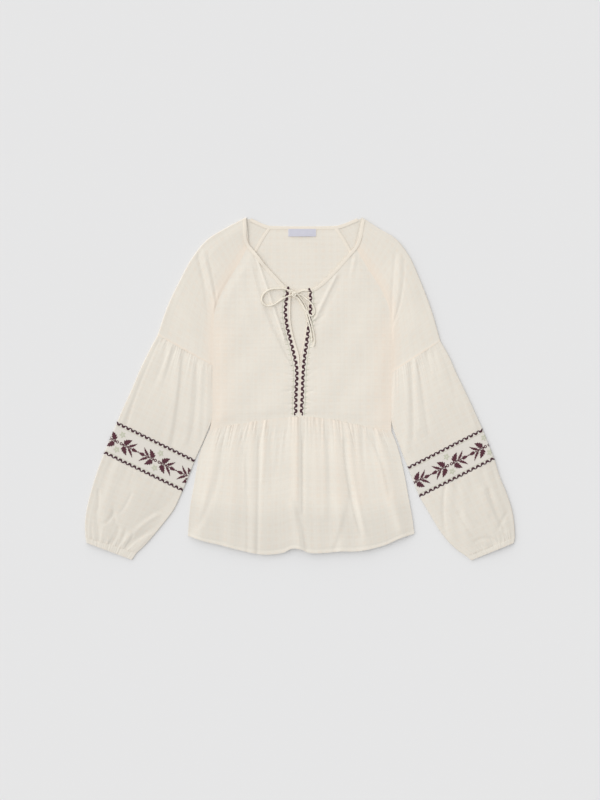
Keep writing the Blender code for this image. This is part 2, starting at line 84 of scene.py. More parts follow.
def make_sun(row):
    """A very wide sun, tilted from straight down towards the side that it is turned to."""
    sun = dict(zip(SUN_COLUMNS, row))
    data = bpy.data.lights.new(sun["name"], "SUN")
    data.energy, data.angle = sun["strength"], math.radians(sun["angle"])
    light = bpy.data.objects.new(sun["name"], data)
    light.rotation_euler = (math.radians(sun["tilt"]), 0, math.radians(sun["turn"]))
    bpy.context.scene.collection.objects.link(light)


def make_sky():
    """An even white sky."""
    world = bpy.data.worlds.new("sky")
    world.use_nodes = True
    back = world.node_tree.nodes["Background"]
    back.inputs["Color"].default_value = SKY_COLOUR
    back.inputs["Strength"].default_value = SKY_STRENGTH
    bpy.context.scene.world = world


make_camera()
make_sky()
for row in SUNS:
    make_sun(row)
bpy.context.scene.view_settings.view_transform = "Standard"

# %% [markdown]
# Shader maths reads best as maths. This small class wraps a socket, so that an expression such as
# 1 - mask * 0.5 adds the Math nodes by itself. Every other node comes from one method.

# %% Shader values as Python values
BUMP_DISTANCE = 0.0004


class Value:
    """A shader socket that takes part in arithmetic."""

    def __init__(self, paint, socket):
        self.paint, self.socket = paint, socket

    def math(self, operation, *others):
        """This value and others through one Math node."""
        return self.paint.node("ShaderNodeMath", {"operation": operation}, dict(enumerate((self, *others))))

    def __add__(self, other):
        return self.math("ADD", other)

    __radd__ = __add__

    def __mul__(self, other):
        return self.math("MULTIPLY", other)

    __rmul__ = __mul__

    def __sub__(self, other):
        return self.math("SUBTRACT", other)

    def __rsub__(self, other):
        return (self * -1) + other

    def clamp(self):
        """This value kept between 0 and 1."""
        return self.math("MAXIMUM", 0.0).math("MINIMUM", 1.0)


class Paint:
    """A material's node tree and the one way to add nodes to it."""

    def __init__(self, name, roughness=0.9):
        self.material = bpy.data.materials.new(name)
        self.material.use_nodes = True
        self.tree = self.material.node_tree
        self.shader = self.tree.nodes["Principled BSDF"]
        self.shader.inputs["Roughness"].default_value = roughness
        self.shader.inputs["Specular IOR Level"].default_value = 0.2

    def node(self, kind, settings=None, inputs=None, output=0):
        """A node of a kind: its settings first, then the values or links of its sockets."""
        made = self.tree.nodes.new(kind)
        for key, value in (settings or {}).items():
            setattr(made, key, value)
        for key, value in (inputs or {}).items():
            if isinstance(value, Value):
                self.tree.links.new(value.socket, made.inputs[key])
            else:
                made.inputs[key].default_value = value
        return Value(self, made.outputs[output])

    def mix(self, share, first, second):
        """Two colours mixed by a share."""
        settings = {"data_type": "RGBA"}
        return self.node("ShaderNodeMix", settings, {0: share, 6: first, 7: second}, 2)

    def noise(self, place, scale, detail=2.0, stretch=(1, 1, 1)):
        """Smooth noise over a place, with its axes stretched."""
        spread = self.node("ShaderNodeVectorMath", {"operation": "MULTIPLY"}, {0: place, 1: stretch})
        inputs = {"Vector": spread, "Scale": scale, "Detail": detail}
        return self.node("ShaderNodeTexNoise", {}, inputs, "Fac")

    def finish(self, colour, height, strength):
        """Links the colour and a bump from the height to the shader."""
        inputs = {"Height": height, "Distance": BUMP_DISTANCE, "Strength": strength}
        bump = self.node("ShaderNodeBump", {}, inputs)
        self.tree.links.new(colour.socket, self.shader.inputs["Base Color"])
        self.tree.links.new(bump.socket, self.shader.inputs["Normal"])
        return self.material


# %% [markdown]
# Cotton gauze is woven loosely from uneven yarn, so it shows a faint grid of thicker threads, a soft
# crinkle and a slight change of tone. The threads follow the cloth, so the pattern reads the piece's own
# UV map, which is laid in metres of cut cloth: U across the piece and V along it. A small check is woven
# in as well. An attribute named tone is above 0 where the cloth is double, as in a hem or a casing, because
# there it looks warmer, and on the ridges of the peplum's folds, where it is painted light. Below 0 it mixes
# towards a darker grey. That grey is painted shade on the lower sleeves, the cuffs, round the sleeves' outer
# fold and in the peplum's fold valleys. It also makes the cloth darker towards the peplum's hem and, on the
# upper sleeve, towards the band.

# %% Cloth finishes
SLUB_PITCH = 260.0
YARN_PITCH = 1150.0
CRINKLE_SCALE = 150.0
CLOUD_SCALE = 22.0
CHECK_ACROSS = 0.0141
CHECK_ALONG = 0.0122
# The darker colour: the uneven yarn mixes towards it, and tone below 0 uses it for painted shade.
DARK_YARN_AND_SHADE_COLOUR = (0.86, 0.866, 0.875)
STRAND_PITCH = 900.0
FLOSS_CLOUD_SCALE = 120.0


def cloth_paint(name, thin, double, slub=0.05, crinkle=0.5, sheen=0.25):
    """A gauze finish from the colour of one layer to the colour where it is double; tone above 0 also paints
    light on fold ridges, and tone below 0 paints shade with a darker colour.
    """
    paint = Paint(name)
    place = paint.node("ShaderNodeUVMap", {"uv_map": "cut"})
    across = paint.noise(place, SLUB_PITCH, 2.0, (0.05, 1, 1))
    along = paint.noise(place, SLUB_PITCH, 2.0, (1, 0.04, 1))
    fine_across = paint.noise(place, YARN_PITCH, 1.0, (0.08, 1, 1))
    fine_along = paint.noise(place, YARN_PITCH, 1.0, (1, 0.08, 1))
    soft = paint.noise(place, CRINKLE_SCALE, 3.0)
    wide = paint.noise(place, CLOUD_SCALE, 2.0)
    tone = paint.node("ShaderNodeAttribute", {"attribute_name": "tone"}, output="Fac")
    weave = (across + along) * 0.5 + (fine_across + fine_along) * 0.25
    stripes = []
    for number, pitch in enumerate((CHECK_ACROSS, CHECK_ALONG)):
        metres = paint.node("ShaderNodeSeparateXYZ", {}, {0: place}, number)
        stripe = (metres * (2 * math.pi / pitch) + soft * 2).math("SINE") * 0.9 + 0.5
        stripes.append(stripe.clamp())
    check = stripes[0] * stripes[1]
    # Tone above 0 stands for double cloth, and for painted light on the peplum's fold ridges.
    double_and_painted_light_share = (tone.math("MAXIMUM", 0.0) + check * (wide * 0.9 - 0.1)).clamp()
    base = paint.mix(double_and_painted_light_share, (*thin, 1), (*double, 1))
    deep = paint.node("ShaderNodeVectorMath", {"operation": "MULTIPLY"}, {0: base, 1: DARK_YARN_AND_SHADE_COLOUR})
    # Tone below 0 is painted shade on the lower sleeves, cuffs, outer folds and fold valleys, and it also
    # makes the cloth darker towards the peplum's hem.
    painted_shade_and_darkening = tone.math("MINIMUM", 0.0)
    share = ((0.75 - weave) * slub * 17 + (wide - 0.5) * 0.35 + 0.14 + check * 0.07 - painted_shade_and_darkening * 0.5).clamp()
    colour = paint.mix(share, base, deep)
    paint.shader.inputs["Sheen Weight"].default_value = sheen
    paint.shader.inputs["Sheen Roughness"].default_value = 0.5
    return paint.finish(colour, weave + soft * crinkle, 0.5)


def thread_paint(name, colour, dark):
    """Embroidery floss: close parallel strands, a little glossy, with a slight change of tone."""
    paint = Paint(name, 0.6)
    place = paint.node("ShaderNodeUVMap", {"uv_map": "cut"})
    strands = paint.noise(place, STRAND_PITCH, 1.0, (1, 0.12, 1))
    cloud = paint.noise(place, FLOSS_CLOUD_SCALE, 2.0)
    share = (strands * 0.8 + cloud * 0.6 - 0.3).clamp()
    shade = paint.mix(share, (*dark, 1), (*colour, 1))
    paint.shader.inputs["Specular IOR Level"].default_value = 0.35
    return paint.finish(shade, strands, 0.8)


GAUZE = cloth_paint("cotton_gauze", (0.822, 0.772, 0.684), (0.86, 0.76, 0.648))
BAND_CLOTH = cloth_paint("band_cloth", (0.745, 0.706, 0.643), (0.79, 0.755, 0.695), 0.03, 0.25, 0.1)
TRIM = cloth_paint("bias_trim", (0.855, 0.785, 0.68), (0.87, 0.79, 0.68), 0.04, 0.3)
ROULEAU = cloth_paint("rouleau", (0.85, 0.79, 0.68), (0.88, 0.83, 0.73), 0.04, 0.3)
LABEL_CLOTH = cloth_paint("label_weave", (0.63, 0.625, 0.70), (0.69, 0.685, 0.75), 0.02, 0.1, 0.1)
BURGUNDY = thread_paint("burgundy_floss", (0.112, 0.024, 0.040), (0.062, 0.013, 0.023))
AUBERGINE = thread_paint("aubergine_floss", (0.078, 0.020, 0.034), (0.042, 0.010, 0.018))
SAGE = thread_paint("sage_floss", (0.63, 0.63, 0.51), (0.54, 0.55, 0.43))
STITCH = thread_paint("sewing_thread", (0.80, 0.74, 0.63), (0.70, 0.64, 0.54))
print("cloth and thread finishes:", len(bpy.data.materials))

# %% [markdown]
# The cut sizes of the blouse repeat those of the solids, in whole millimetres from the middle of the
# garment. A short table gives the lines that matter, and a cubic curve runs through each of them.

# %% Outlines of the blouse
WALL = 1.2
LAYER_GAP = 0.3
UPPER = WALL + LAYER_GAP
FOLD_RADIUS = 1.95
SHELL = 0.8
JOIN = 0.06

RAGLAN_COLUMNS = ("outer_x", "outer_y", "front_x", "front_y", "back_x", "back_y")
RAGLAN = {
    "left": (
        (-101, 320, -96, 270, -58, 304),
        (-139, 300, -111, 240, -77, 268),
        (-174, 278, -129, 210, -99, 227),
        (-202, 244, -146, 180, -124, 184),
        (-225, 202, -159, 146, -150, 142),
        (-248, 154, -163, 109, -163, 109),
        (-267, 99, -163, 41, -163, 41),
    ),
    "right": (
        (116, 320, 103, 266, 69, 304),
        (146, 300, 120, 236, 88, 268),
        (180, 279, 139, 206, 111, 227),
        (204, 248, 156, 178, 133, 186),
        (225, 202, 168, 146, 159, 144),
        (246, 147, 172, 105, 172, 105),
        (263, 88, 172, 28, 172, 28),
    ),
}
SLEEVE_COLUMNS = ("station", "outer_x", "outer_y", "inner_x", "inner_y")
SLEEVE = {
    "left": (
        ("drop", -267, 99, -161.8, 41),
        ("upper", -283, 69, -162, 8),
        ("elbow", -300, 34, -162.3, -24),
        ("low", -317, -6, -163.4, -52),
        ("fore", -330, -34, -178.5, -94),
        ("band_top", -342, -62, -196, -133),
        ("band_mid", -355, -93, -208, -164),
        ("band_end", -368, -124, -221, -195),
        ("full_1", -381, -159, -236, -227),
        ("full_2", -392, -195, -256, -254),
        ("full_3", -400, -229, -275, -277),
        ("full_4", -403, -257, -292, -296),
        ("cuff_top", -402, -279, -306, -309),
        ("cuff_end", -400, -290, -315, -322),
    ),
    "right": (
        ("drop", 263, 88, 170.8, 28),
        ("upper", 278, 62, 170.3, 0),
        ("elbow", 294, 26, 170.1, -30),
        ("low", 311, -9, 170.4, -58),
        ("fore", 326, -41, 186, -107),
        ("band_top", 341, -75, 201, -146),
        ("band_mid", 353, -105, 213, -176),
        ("band_end", 365, -135, 225, -206),
        ("full_1", 375, -167, 243, -236),
        ("full_2", 388, -199, 261, -266),
        ("full_3", 398, -231, 278, -288),
        ("full_4", 402, -259, 295, -304),
        ("cuff_top", 403, -279, 311, -315),
        ("cuff_end", 401, -290, 321, -323),
    ),
}
NECK_FRONT = {
    "left": ((-96, 270), (-82, 253), (-66, 232), (-46, 210), (-32, 195), (-18, 184)),
    "right": ((103, 266), (92, 253), (71, 229), (51, 208), (34, 193), (17, 183)),
}
SLIT = {
    "left": ((-18, 184), (-18, 156), (-18, 128), (-14, 103), (-8, 81), (-2, 60), (0, 41), (0, 0), (0, -54)),
    "right": ((17, 183), (16, 156), (15, 131), (11, 109), (7, 86), (2, 64), (0, 41), (0, 0), (0, -54)),
}
NECK_BACK = ((-58, 304), (-26, 303), (6, 303), (38, 303), (69, 304))
SHOULDER = {"left": (-101, 320), "right": (116, 320)}
SIDE = {
    "left": ((-163, 41), (-163.2, 8), (-163.4, -24), (-164.2, -50), (-169, -78)),
    "right": ((172, 28), (171.4, 0), (171.2, -30), (171.2, -56), (171, -81)),
}
WAIST = (
    (-169, -78), (-119, -68), (-72, -61), (-38, -56), (0, -54),
    (38, -56), (75, -62), (103, -68), (134, -74), (171, -81),
)
PEPLUM_SIDE = {
    "left": ((-169, -78), (-180, -102), (-189, -127), (-193, -150), (-199, -184), (-205, -218), (-210, -277)),
    "right": ((171, -81), (182, -109), (191, -142), (198, -176), (204, -210), (210, -242), (214, -273)),
}
HEM = (
    (-210, -277), (-180, -287), (-150, -294), (-120, -302), (-90, -309), (-68, -312), (-45, -311),
    (-30, -308), (-15, -301), (0, -302), (15, -308), (45, -309), (75, -306), (105, -306), (135, -301),
    (165, -292), (182, -284), (198, -278), (214, -273),
)


def columns(rows, names, *wanted):
    """The named columns of a table, as an array with a row for each of the table's rows."""
    places = [names.index(name) for name in wanted]
    return np.array([[row[place] for place in places] for row in rows], float)


def smooth(points, at):
    """A curve through the points, cubic between them, read at shares of its length from 0 to 1."""
    points = np.asarray(points, float)
    stations = np.r_[0, np.cumsum(np.linalg.norm(np.diff(points, axis=0), axis=1))]
    slope = np.gradient(points, stations, axis=0)
    where = np.asarray(at, float) * stations[-1]
    left = np.clip(np.searchsorted(stations, where, side="right") - 1, 0, len(points) - 2)
    step = (stations[left + 1] - stations[left])[:, None]
    t = (where - stations[left])[:, None] / step
    start, end = points[left], points[left + 1]
    curve = (2 * t**3 - 3 * t**2 + 1) * start + (t**3 - 2 * t**2 + t) * step * slope[left]
    return curve + (3 * t**2 - 2 * t**3) * end + (t**3 - t**2) * step * slope[left + 1]


def even(points, count):
    """The curve through the points, read at count even steps."""
    return smooth(points, np.linspace(0, 1, count + 1))


def length_of(points):
    """The length of a line of points."""
    return np.linalg.norm(np.diff(points, axis=0), axis=1).sum()


def coons(top, bottom, left, right, across_share=None):
    """The plan grid between four edges: top and bottom run left to right, left and right run down.

    across_share says how far across each column stands; without it they are even.
    """
    u = (np.linspace(0, 1, len(top)) if across_share is None else across_share)[None, :, None]
    v = np.linspace(0, 1, len(left))[:, None, None]
    across = (1 - u) * left[:, None] + u * right[:, None]
    down = (1 - v) * top[None] + v * bottom[None]
    corners = (1 - v) * ((1 - u) * top[0] + u * top[-1]) + v * ((1 - u) * bottom[0] + u * bottom[-1])
    return across + down - corners


def fade(value):
    """A soft step from 0 to 1."""
    value = np.clip(value, 0, 1)
    return value * value * (3 - 2 * value)


def between(share, steepness):
    """1 in the middle of a share from 0 to 1, with a soft step down to 0 at both ends."""
    return fade(share * steepness) * fade((1 - share) * steepness)


def bell(distance, width):
    """A bell: 1 at no distance, and e to the power of minus its square in widths."""
    return np.exp(-((distance / width) ** 2))


print("the waist seam is", round(length_of(even(WAIST, 60))), "mm long as laid")

# %% [markdown]
# Laid cloth creases in long, soft, uneven lines. Each fold is one row of a table: where it starts and
# ends, how far its middle bows aside, how wide it is on its left and on its right, and its height at each
# end. A narrow side beside a wide one reads as cloth that has folded over a little, which is what the
# gathered pieces do. Fine gathers are too many for a table: they spread from a seam with seeded, uneven
# places, depths and reaches. An underside rests on the table, so there a ridge only leaves a shallow hollow.

# %% Folds and gathers
FOLD_COLUMNS = (
    "start_x", "start_y", "end_x", "end_y", "bow", "left_width", "right_width", "start_height", "end_height",
)
FOLDS = {
    "back_bodice": (
        (-92, 226, -116, 84, 7, 9, 7, 1.1, 0.6),
        (-128, 60, -104, -48, -5, 7, 9, 0.5, 1.2),
        (-46, 118, -58, -44, 4, 8, 6, 0.4, 1.0),
        (8, 240, 20, 150, 6, 11, 8, 0.9, 0.3),
        (30, 74, 12, -50, -6, 7, 8, 0.5, 1.1),
        (76, 150, 98, 36, 5, 8, 10, 0.8, 0.5),
        (132, 96, 118, -42, -8, 7, 7, 0.7, 1.2),
    ),
    "peplum_front": (
        (-143, -84, -187, -250, 10, 7, 9, -0.8, -1.5),
        (-158, -96, -198, -270, 10, 14, 8, 0.8, 1.4),
        (-108, -75, -98, -300, 4, 8, 4, -0.8, -0.9),
        (-124, -75, -132, -296, 4, 12, 12, 0.6, 1),
        (-76, -68, -80, -308, 0, 4, 4, -0.9, -1.3),
        (-88, -66, -92, -290, -4, 8, 8, 0.8, 0.9),
        (-65, -68, -70, -170, 0, 5, 4, 1.4, 0.6),
        (-55, -70, -54, -190, 0, 6, 4, -0.6, -0.3),
        (-104, -76, -104, -180, 0, 5, 3, 0.9, 0.5),
        (-40, -62, -46, -160, 3, 4, 4, -0.7, -0.2),
        (-24, -60, -30, -130, 0, 4, 4, -0.6, -0.2),
        (-6, -62, -6, -222, 0, 4.5, 9, 1.9, 1),
        (4.7, -62, 4.7, -232, 0, 4, 2.2, -1.9, -1),
        (-7, -219, 11, -300, 2, 6, 3, -0.6, -1.2),
        (-15, -222, 0, -302, 2, 4, 8, 0.8, 1),
        (24, -62, 34, -300, 3, 12, 9, 0.6, 0.6),
        (50, -68, 55, -240, 2, 7, 3, -1.1, -0.5),
        (42, -68, 46, -230, 2, 3, 7, 0.8, 0.4),
        (66, -70, 74, -296, 4, 12, 12, 0.8, 1.5),
        (83, -104, 112, -268, -5, 7, 3, -1.5, -1.4),
        (93, -90, 119, -262, -5, 5, 8, 1.1, 1.4),
        (96, -192, 66, -300, 3, 9, 5, -0.5, -1.1),
        (112, -78, 122, -290, -4, 12, 12, 0.9, 1.6),
        (116, -78, 120, -150, 0, 4, 6, -1.4, -0.5),
        (132, -88, 166, -192, 4, 8, 4, -1.9, -1),
        (148, -90, 190, -262, -8, 12, 10, 1.4, 2.1),
        (156, -92, 178, -136, 0, 4, 6, -1.5, -0.5),
    ),
    "sleeve_left": (
        (-267, 82, -324, -66, -4, 3, 5, -0.9, -0.8),
        (-280, 66, -336, -60, -3, 8, 6, 0.7, 0.7),
        (-243, 74, -262, 8, 1, 4, 6, 1.2, 0.4),
        (-250, 76, -270, 14, 2, 3, 4, -0.6, -0.3),
        (-226, 60, -247, -100, 3, 3.5, 9, 1, 0.7),
        (-219, 64, -240, -107, 3, 8, 3, -0.7, -0.7),
        (-236, 66, -252, 20, 0, 3, 4, -0.7, -0.2),
        (-203, 46, -214, -96, 3, 4, 8, 0.6, 0.5),
        (-194, 42, -205, -96, 4, 6, 3, -0.8, -0.6),
        (-184, 34, -190, -90, 0, 5, 6, 0.7, 0.5),
        (-172, 26, -176, -84, 0, 5, 5, 0.6, 0.5),
    ),
    "sleeve_right": (
        (208, 42, 212, -92, 1, 3.5, 5, -1.2, -0.7),
        (198, 40, 200, -110, 3, 7, 8, 1, 0.8),
        (216, 50, 224, -70, 0, 7, 4, 0.9, 0.6),
        (222, 40, 240, -84, 0, 5, 3, -1.1, -0.6),
        (238, 62, 244, 30, 0, 4, 4, -1, -0.5),
        (250, 68, 258, 36, 0, 4, 4, -0.8, -0.3),
        (262, 76, 290, -20, 4, 7, 3, -0.9, -0.3),
        (272, 80, 332, -70, 6, 6, 8, 0.7, 0.5),
        (286, 50, 326, -66, 4, 10, 8, 0.5, 0.8),
    ),
    "lower_sleeve_left": (
        (-352, -140, -370, -196, -3, 7, 5, -0.6, -0.3),
        (-344, -150, -366, -270, -6, 11, 9, 0.6, 1.2),
        (-377, -195, -377, -222, 0, 3, 3.5, -1.3, -0.8),
        (-380, -232, -379, -264, 0, 4, 5, -0.9, -0.5),
        (-350, -235, -363, -252, 2, 3, 4, -1.3, -0.8),
        (-347, -240, -337, -262, -3, 3, 4, -0.9, -0.6),
        (-317, -200, -333, -230, 1, 2.8, 3, -0.9, -0.6),
        (-340, -266, -352, -290, 2, 3.5, 4, -0.8, -1.1),
        (-328, -272, -343, -298, 2, 4, 4, -1, -1),
        (-314, -278, -328, -302, 2, 3, 4, -0.9, -1),
        (-272, -240, -328, -288, -3, 5, 5, 1.2, 1),
        (-270, -264, -321, -297, -3, 3, 6, -1.3, -1.2),
        (-262, -232, -306, -262, -3, 4, 7, -0.7, -0.5),
        (-300, -180, -322, -230, 0, 12, 12, 0.5, 0.4),
    ),
    "lower_sleeve_right": (
        (272, -184, 273, -272, -4, 3, 3.5, -1.2, -0.9),
        (284, -180, 286, -276, -4, 7, 9, 0.7, 0.7),
        (306, -190, 314, -280, -4, 12, 10, 0.8, 1.2),
        (300, -238, 340, -294, -3, 3, 5, -1.3, -1.1),
        (309, -236, 349, -290, -3, 5, 3.5, 0.9, 0.9),
        (336, -254, 362, -288, 2, 3.5, 5, -1.1, -1),
        (343, -158, 356, -196, -2, 5, 8, -0.7, -0.9),
        (354, -192, 381, -264, -2, 5, 3, -1.4, -1.2),
        (345, -196, 371, -262, -2, 3.5, 8, 0.9, 0.8),
        (366, -160, 394, -240, -4, 4, 6, -0.8, -0.8),
        (358, -243, 371, -260, 0, 3.5, 4, -1.2, -0.9),
        (384, -240, 373, -260, 0, 3.5, 4, -0.9, -0.7),
        (334, -284, 364, -284, 3, 3, 5, -0.7, -0.7),
    ),
    "raglan_right": (
        (179, 250, 172, 122, -2, 2.5, 3, -0.6, -0.7),
        (195, 238, 175, 120, 6, 2.5, 3, -0.5, -0.8),
        (187, 240, 177, 126, 2, 4.5, 5, 0.7, 0.6),
        (124, 290, 178, 256, 3, 9, 9, 0.3, 0.4),
        (214, 180, 204, 90, 3, 10, 10, 0.3, 0.2),
    ),
    "front_left": (
        (-81, 245, -29, 92, 0, 2.7, 2.3, 2.1, 2.3),
        (-88, 216, -21, 47, -7, 2.6, 11, 0.9, 1),
        (-80, 216, -14, 47, -7, 4, 2.6, -0.5, -0.7),
        (-108, 214, -86, 100, -6, 8, 8, 0.5, 0.3),
    ),
    "front_right": (
        (104, 246, 98, 218, 0, 4, 5, 1, 0.4),
        (98, 246, 92, 214, 0, 4, 4, -0.7, -0.3),
        (66, 206, 28, 129, 0, 3, 4, 1.2, 1.6),
        (74, 204, 38, 130, 0, 6, 3.5, -0.4, -0.6),
    ),
    "raglan_left": (
        (-120, 292, -172, 244, -4, 9, 9, 0.5, 0.5),
        (-226, 170, -196, 84, 4, 10, 10, 0.5, 0.3),
        (-193, 255, -161, 30, 7, 2.5, 4, -1.3, -1.4),
        (-180, 250, -158, 146, 1, 5, 4, 1.1, 1.4),
        (-172, 246, -153.5, 146, 1, 2, 2.5, -0.7, -1.1),
        (-155, 172, -159, 84, 0, 4, 3.5, 0.7, 0.5),
    ),
}
GATHER_COLUMNS = ("piece", "from_start", "count", "depth", "reach")
GATHERS = (
    ("peplum_front", True, 64, 1.2, 32),
    ("sleeve_left", True, 30, 0.6, 34),
    ("sleeve_right", True, 30, 0.6, 34),
    ("lower_sleeve_left", True, 12, 0.35, 30),
    ("lower_sleeve_right", True, 12, 0.35, 30),
    ("lower_sleeve_left", False, 24, 0.9, 20),
    ("lower_sleeve_right", False, 24, 0.9, 20),
    ("cuff_left", True, 26, 0.5, 60),
    ("cuff_right", True, 26, 0.5, 60),
)
GATHER_WIDTH = (0.22, 0.5)
GATHER_DEPTH = (0.35, 1.0)
GATHER_REACH = (0.35, 1.5)
GATHER_LEAN = 0.5
GATHER_LIFT = 0.45
DRIFT_WAVES = 7
DRIFT_LENGTHS = (60, 170)
DRIFT_HEIGHT = 0.16
HOLLOW_TOP = 0.45
HOLLOW_EDGE = 9


def relief(piece, plan):
    """The height of a piece's folds at each plan point.

    A fold is a bowed line; its height falls off across it as a bell, narrower on one side, and past its
    ends as a wider bell.
    """
    height = np.zeros(plan.shape[:-1])
    for row in FOLDS.get(piece, ()):
        fold = dict(zip(FOLD_COLUMNS, row))
        start = np.array([fold["start_x"], fold["start_y"]], float)
        along = np.array([fold["end_x"], fold["end_y"]]) - start
        length = np.linalg.norm(along)
        along /= length
        aside = np.array([-along[1], along[0]])
        share = (plan - start) @ along / length
        off = (plan - start) @ aside - fold["bow"] * 4 * share * (1 - share)
        width = np.where(off > 0, fold["left_width"], fold["right_width"])
        beyond = np.maximum(np.maximum(-share, share - 1), 0) * length
        growth = fold["end_height"] - fold["start_height"]
        size = fold["start_height"] + growth * np.clip(share, 0, 1)
        height += size * bell(off, width) * bell(beyond, fold["left_width"] + fold["right_width"])
    return height


def hollows(piece, plan):
    """How far creases lift an underside off the table: tanh of the piece's ridges, none at its edges."""
    down, across = (between(np.linspace(0, 1, count), HOLLOW_EDGE) for count in plan.shape[:2])
    return HOLLOW_TOP * np.tanh(np.maximum(relief(piece, plan), 0)) * down[:, None] * across


def drift(plan, seed):
    """A faint unevenness: a few long sine waves with seeded directions, lengths and starts."""
    rng = np.random.default_rng(seed)
    turn = rng.uniform(0, np.pi, DRIFT_WAVES)
    length = rng.uniform(*DRIFT_LENGTHS, DRIFT_WAVES)
    start = rng.uniform(0, 2 * np.pi, DRIFT_WAVES)
    along = plan[..., 0, None] * np.cos(turn) + plan[..., 1, None] * np.sin(turn)
    return DRIFT_HEIGHT * np.sin(along * 2 * np.pi / length + start).sum(-1)


def gathers(piece, share, down, seed):
    """The gathers of a piece: narrow valleys that run from a seam, each with its own place and reach.

    share is each point's place along the seam from 0 to 1, down its distance from the first row, and the
    height is a sum of bells along the seam times a bell of the distance.
    """
    height = np.zeros(share.shape)
    for number, row in enumerate(GATHERS):
        line = dict(zip(GATHER_COLUMNS, row))
        if line["piece"] != piece:
            continue
        rng = np.random.default_rng(seed * 10 + number)
        count = line["count"]
        place = (np.arange(count) + rng.uniform(0.1, 0.9, count)) / count
        width = rng.uniform(*GATHER_WIDTH, count) / count
        depth = rng.uniform(*GATHER_DEPTH, count) * line["depth"]
        reach = rng.uniform(*GATHER_REACH, count) * line["reach"]
        lean = rng.uniform(-GATHER_LEAN, GATHER_LEAN, count) / count
        away = down if line["from_start"] else down.max() - down
        off = share[..., None] - place - lean * away[..., None] / line["reach"]
        valleys = depth * bell(off, width) * bell(away[..., None], reach)
        height += GATHER_LIFT * line["depth"] * bell(away, line["reach"]) - valleys.sum(-1)
    return height


print("folds placed by hand:", sum(map(len, FOLDS.values())), "and gathers:", sum(row[2] for row in GATHERS))

# %% [markdown]
# A piece of cloth is a closed shell: an outer grid, an inner grid one thickness below it, and a rim
# between their edges. The shell is written into the mesh as whole arrays. Its UV map is the cut cloth in
# metres. Its tone attribute says where the cloth is double, where painted light and painted shade fall, and
# where the cloth is drawn darker.

# %% Shells of cloth
CLOTH_SHARP = 45
shells = {}


def write_mesh(name, points, quads, finish, cut, tone, sharp):
    """A mesh object from arrays of points in millimetres and four-sided faces."""
    mesh = bpy.data.meshes.new(name)
    mesh.vertices.add(len(points))
    mesh.vertices.foreach_set("co", (points * MM).astype(np.float32).ravel())
    mesh.loops.add(quads.size)
    mesh.loops.foreach_set("vertex_index", quads.ravel().astype(np.int32))
    mesh.polygons.add(len(quads))
    mesh.polygons.foreach_set("loop_start", np.arange(0, quads.size, 4, dtype=np.int32))
    mesh.update(calc_edges=True)
    places = cut[quads.ravel()].astype(np.float32)
    mesh.uv_layers.new(name="cut").data.foreach_set("uv", places.ravel())
    mesh.attributes.new("tone", "FLOAT", "POINT").data.foreach_set("value", tone.astype(np.float32))
    mesh.materials.append(finish)
    mesh.shade_smooth()
    mesh.set_sharp_from_angle(angle=math.radians(sharp))
    made = bpy.data.objects.new(name, mesh)
    bpy.context.scene.collection.objects.link(made)
    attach(made, "root")
    return made


def grid_quads(rows, across, around=False):
    """The faces of a grid of points; around joins each row's end to its start."""
    number = np.arange(rows * across).reshape(rows, across)
    after = np.roll(number, -1, axis=1) if around else number[:, 1:]
    before = number if around else number[:, :-1]
    return np.stack([before[:-1], before[1:], after[1:], after[:-1]], -1).reshape(-1, 4)


def shell(name, outer, inner, cut, tone, finish, closed=False):
    """A closed shell between two grids, written as one mesh; closed joins each row's end to its start."""
    rows, across = outer.shape[:2]
    count = rows * across
    quads = grid_quads(rows, across, closed)
    number = np.arange(count).reshape(rows, across)
    if closed:
        loops = [number[0], number[-1, ::-1]]
        rim, after = np.concatenate(loops), np.concatenate([np.roll(loop, -1) for loop in loops])
    else:
        rim = np.r_[number[0, :-1], number[:-1, -1], number[-1, :0:-1], number[:0:-1, 0]]
        after = np.roll(rim, -1)
    sides = np.stack([rim, after, after + count, rim + count], -1)
    faces = np.concatenate([quads, quads[:, ::-1] + count, sides])
    points = np.concatenate([outer.reshape(-1, 3), inner.reshape(-1, 3)])
    cut = np.tile(cut.reshape(-1, 2), (2, 1)) * MM
    tone = np.tile(np.broadcast_to(tone, (rows, across)).ravel(), 2)
    shells[name] = outer
    return write_mesh(name, points, faces, finish, cut, tone, CLOTH_SHARP)


def with_height(plan, height):
    """Plan points given a height each."""
    return np.dstack([plan, np.broadcast_to(height, plan.shape[:2])])


def panel(name, plan, under, cut, tone, finish):
    """A panel: its underside at the given heights, its top one wall of the solid above."""
    top = np.broadcast_to(under, plan.shape[:2]) + WALL
    return shell(name, with_height(plan, top), with_height(plan, top - SHELL), cut, tone, finish)


def cut_grid(rows, across, width, length):
    """Places on the cut cloth for a grid, in millimetres."""
    u, v = np.meshgrid(np.linspace(0, width, across), np.linspace(length, 0, rows))
    return np.dstack([u, v])


def raglan_seam(side, edge, count):
    """A raglan seam or fold, from the neck to the dropped seam."""
    return even(columns(RAGLAN[side], RAGLAN_COLUMNS, edge + "_x", edge + "_y"), count)


print("shells are", SHELL, "mm thick on walls of", WALL, "mm")

# %% [markdown]
# The bodice is three flat pieces: a back on the table and two front halves over it, which part at the
# keyhole slit. Each is a Coons patch, a grid spread between four edges. Its top rises a little where the
# folds run and comes down to the seams. Beside the slit, the rows of embroidery have puckered the cotton,
# so short ripples run off to the side.

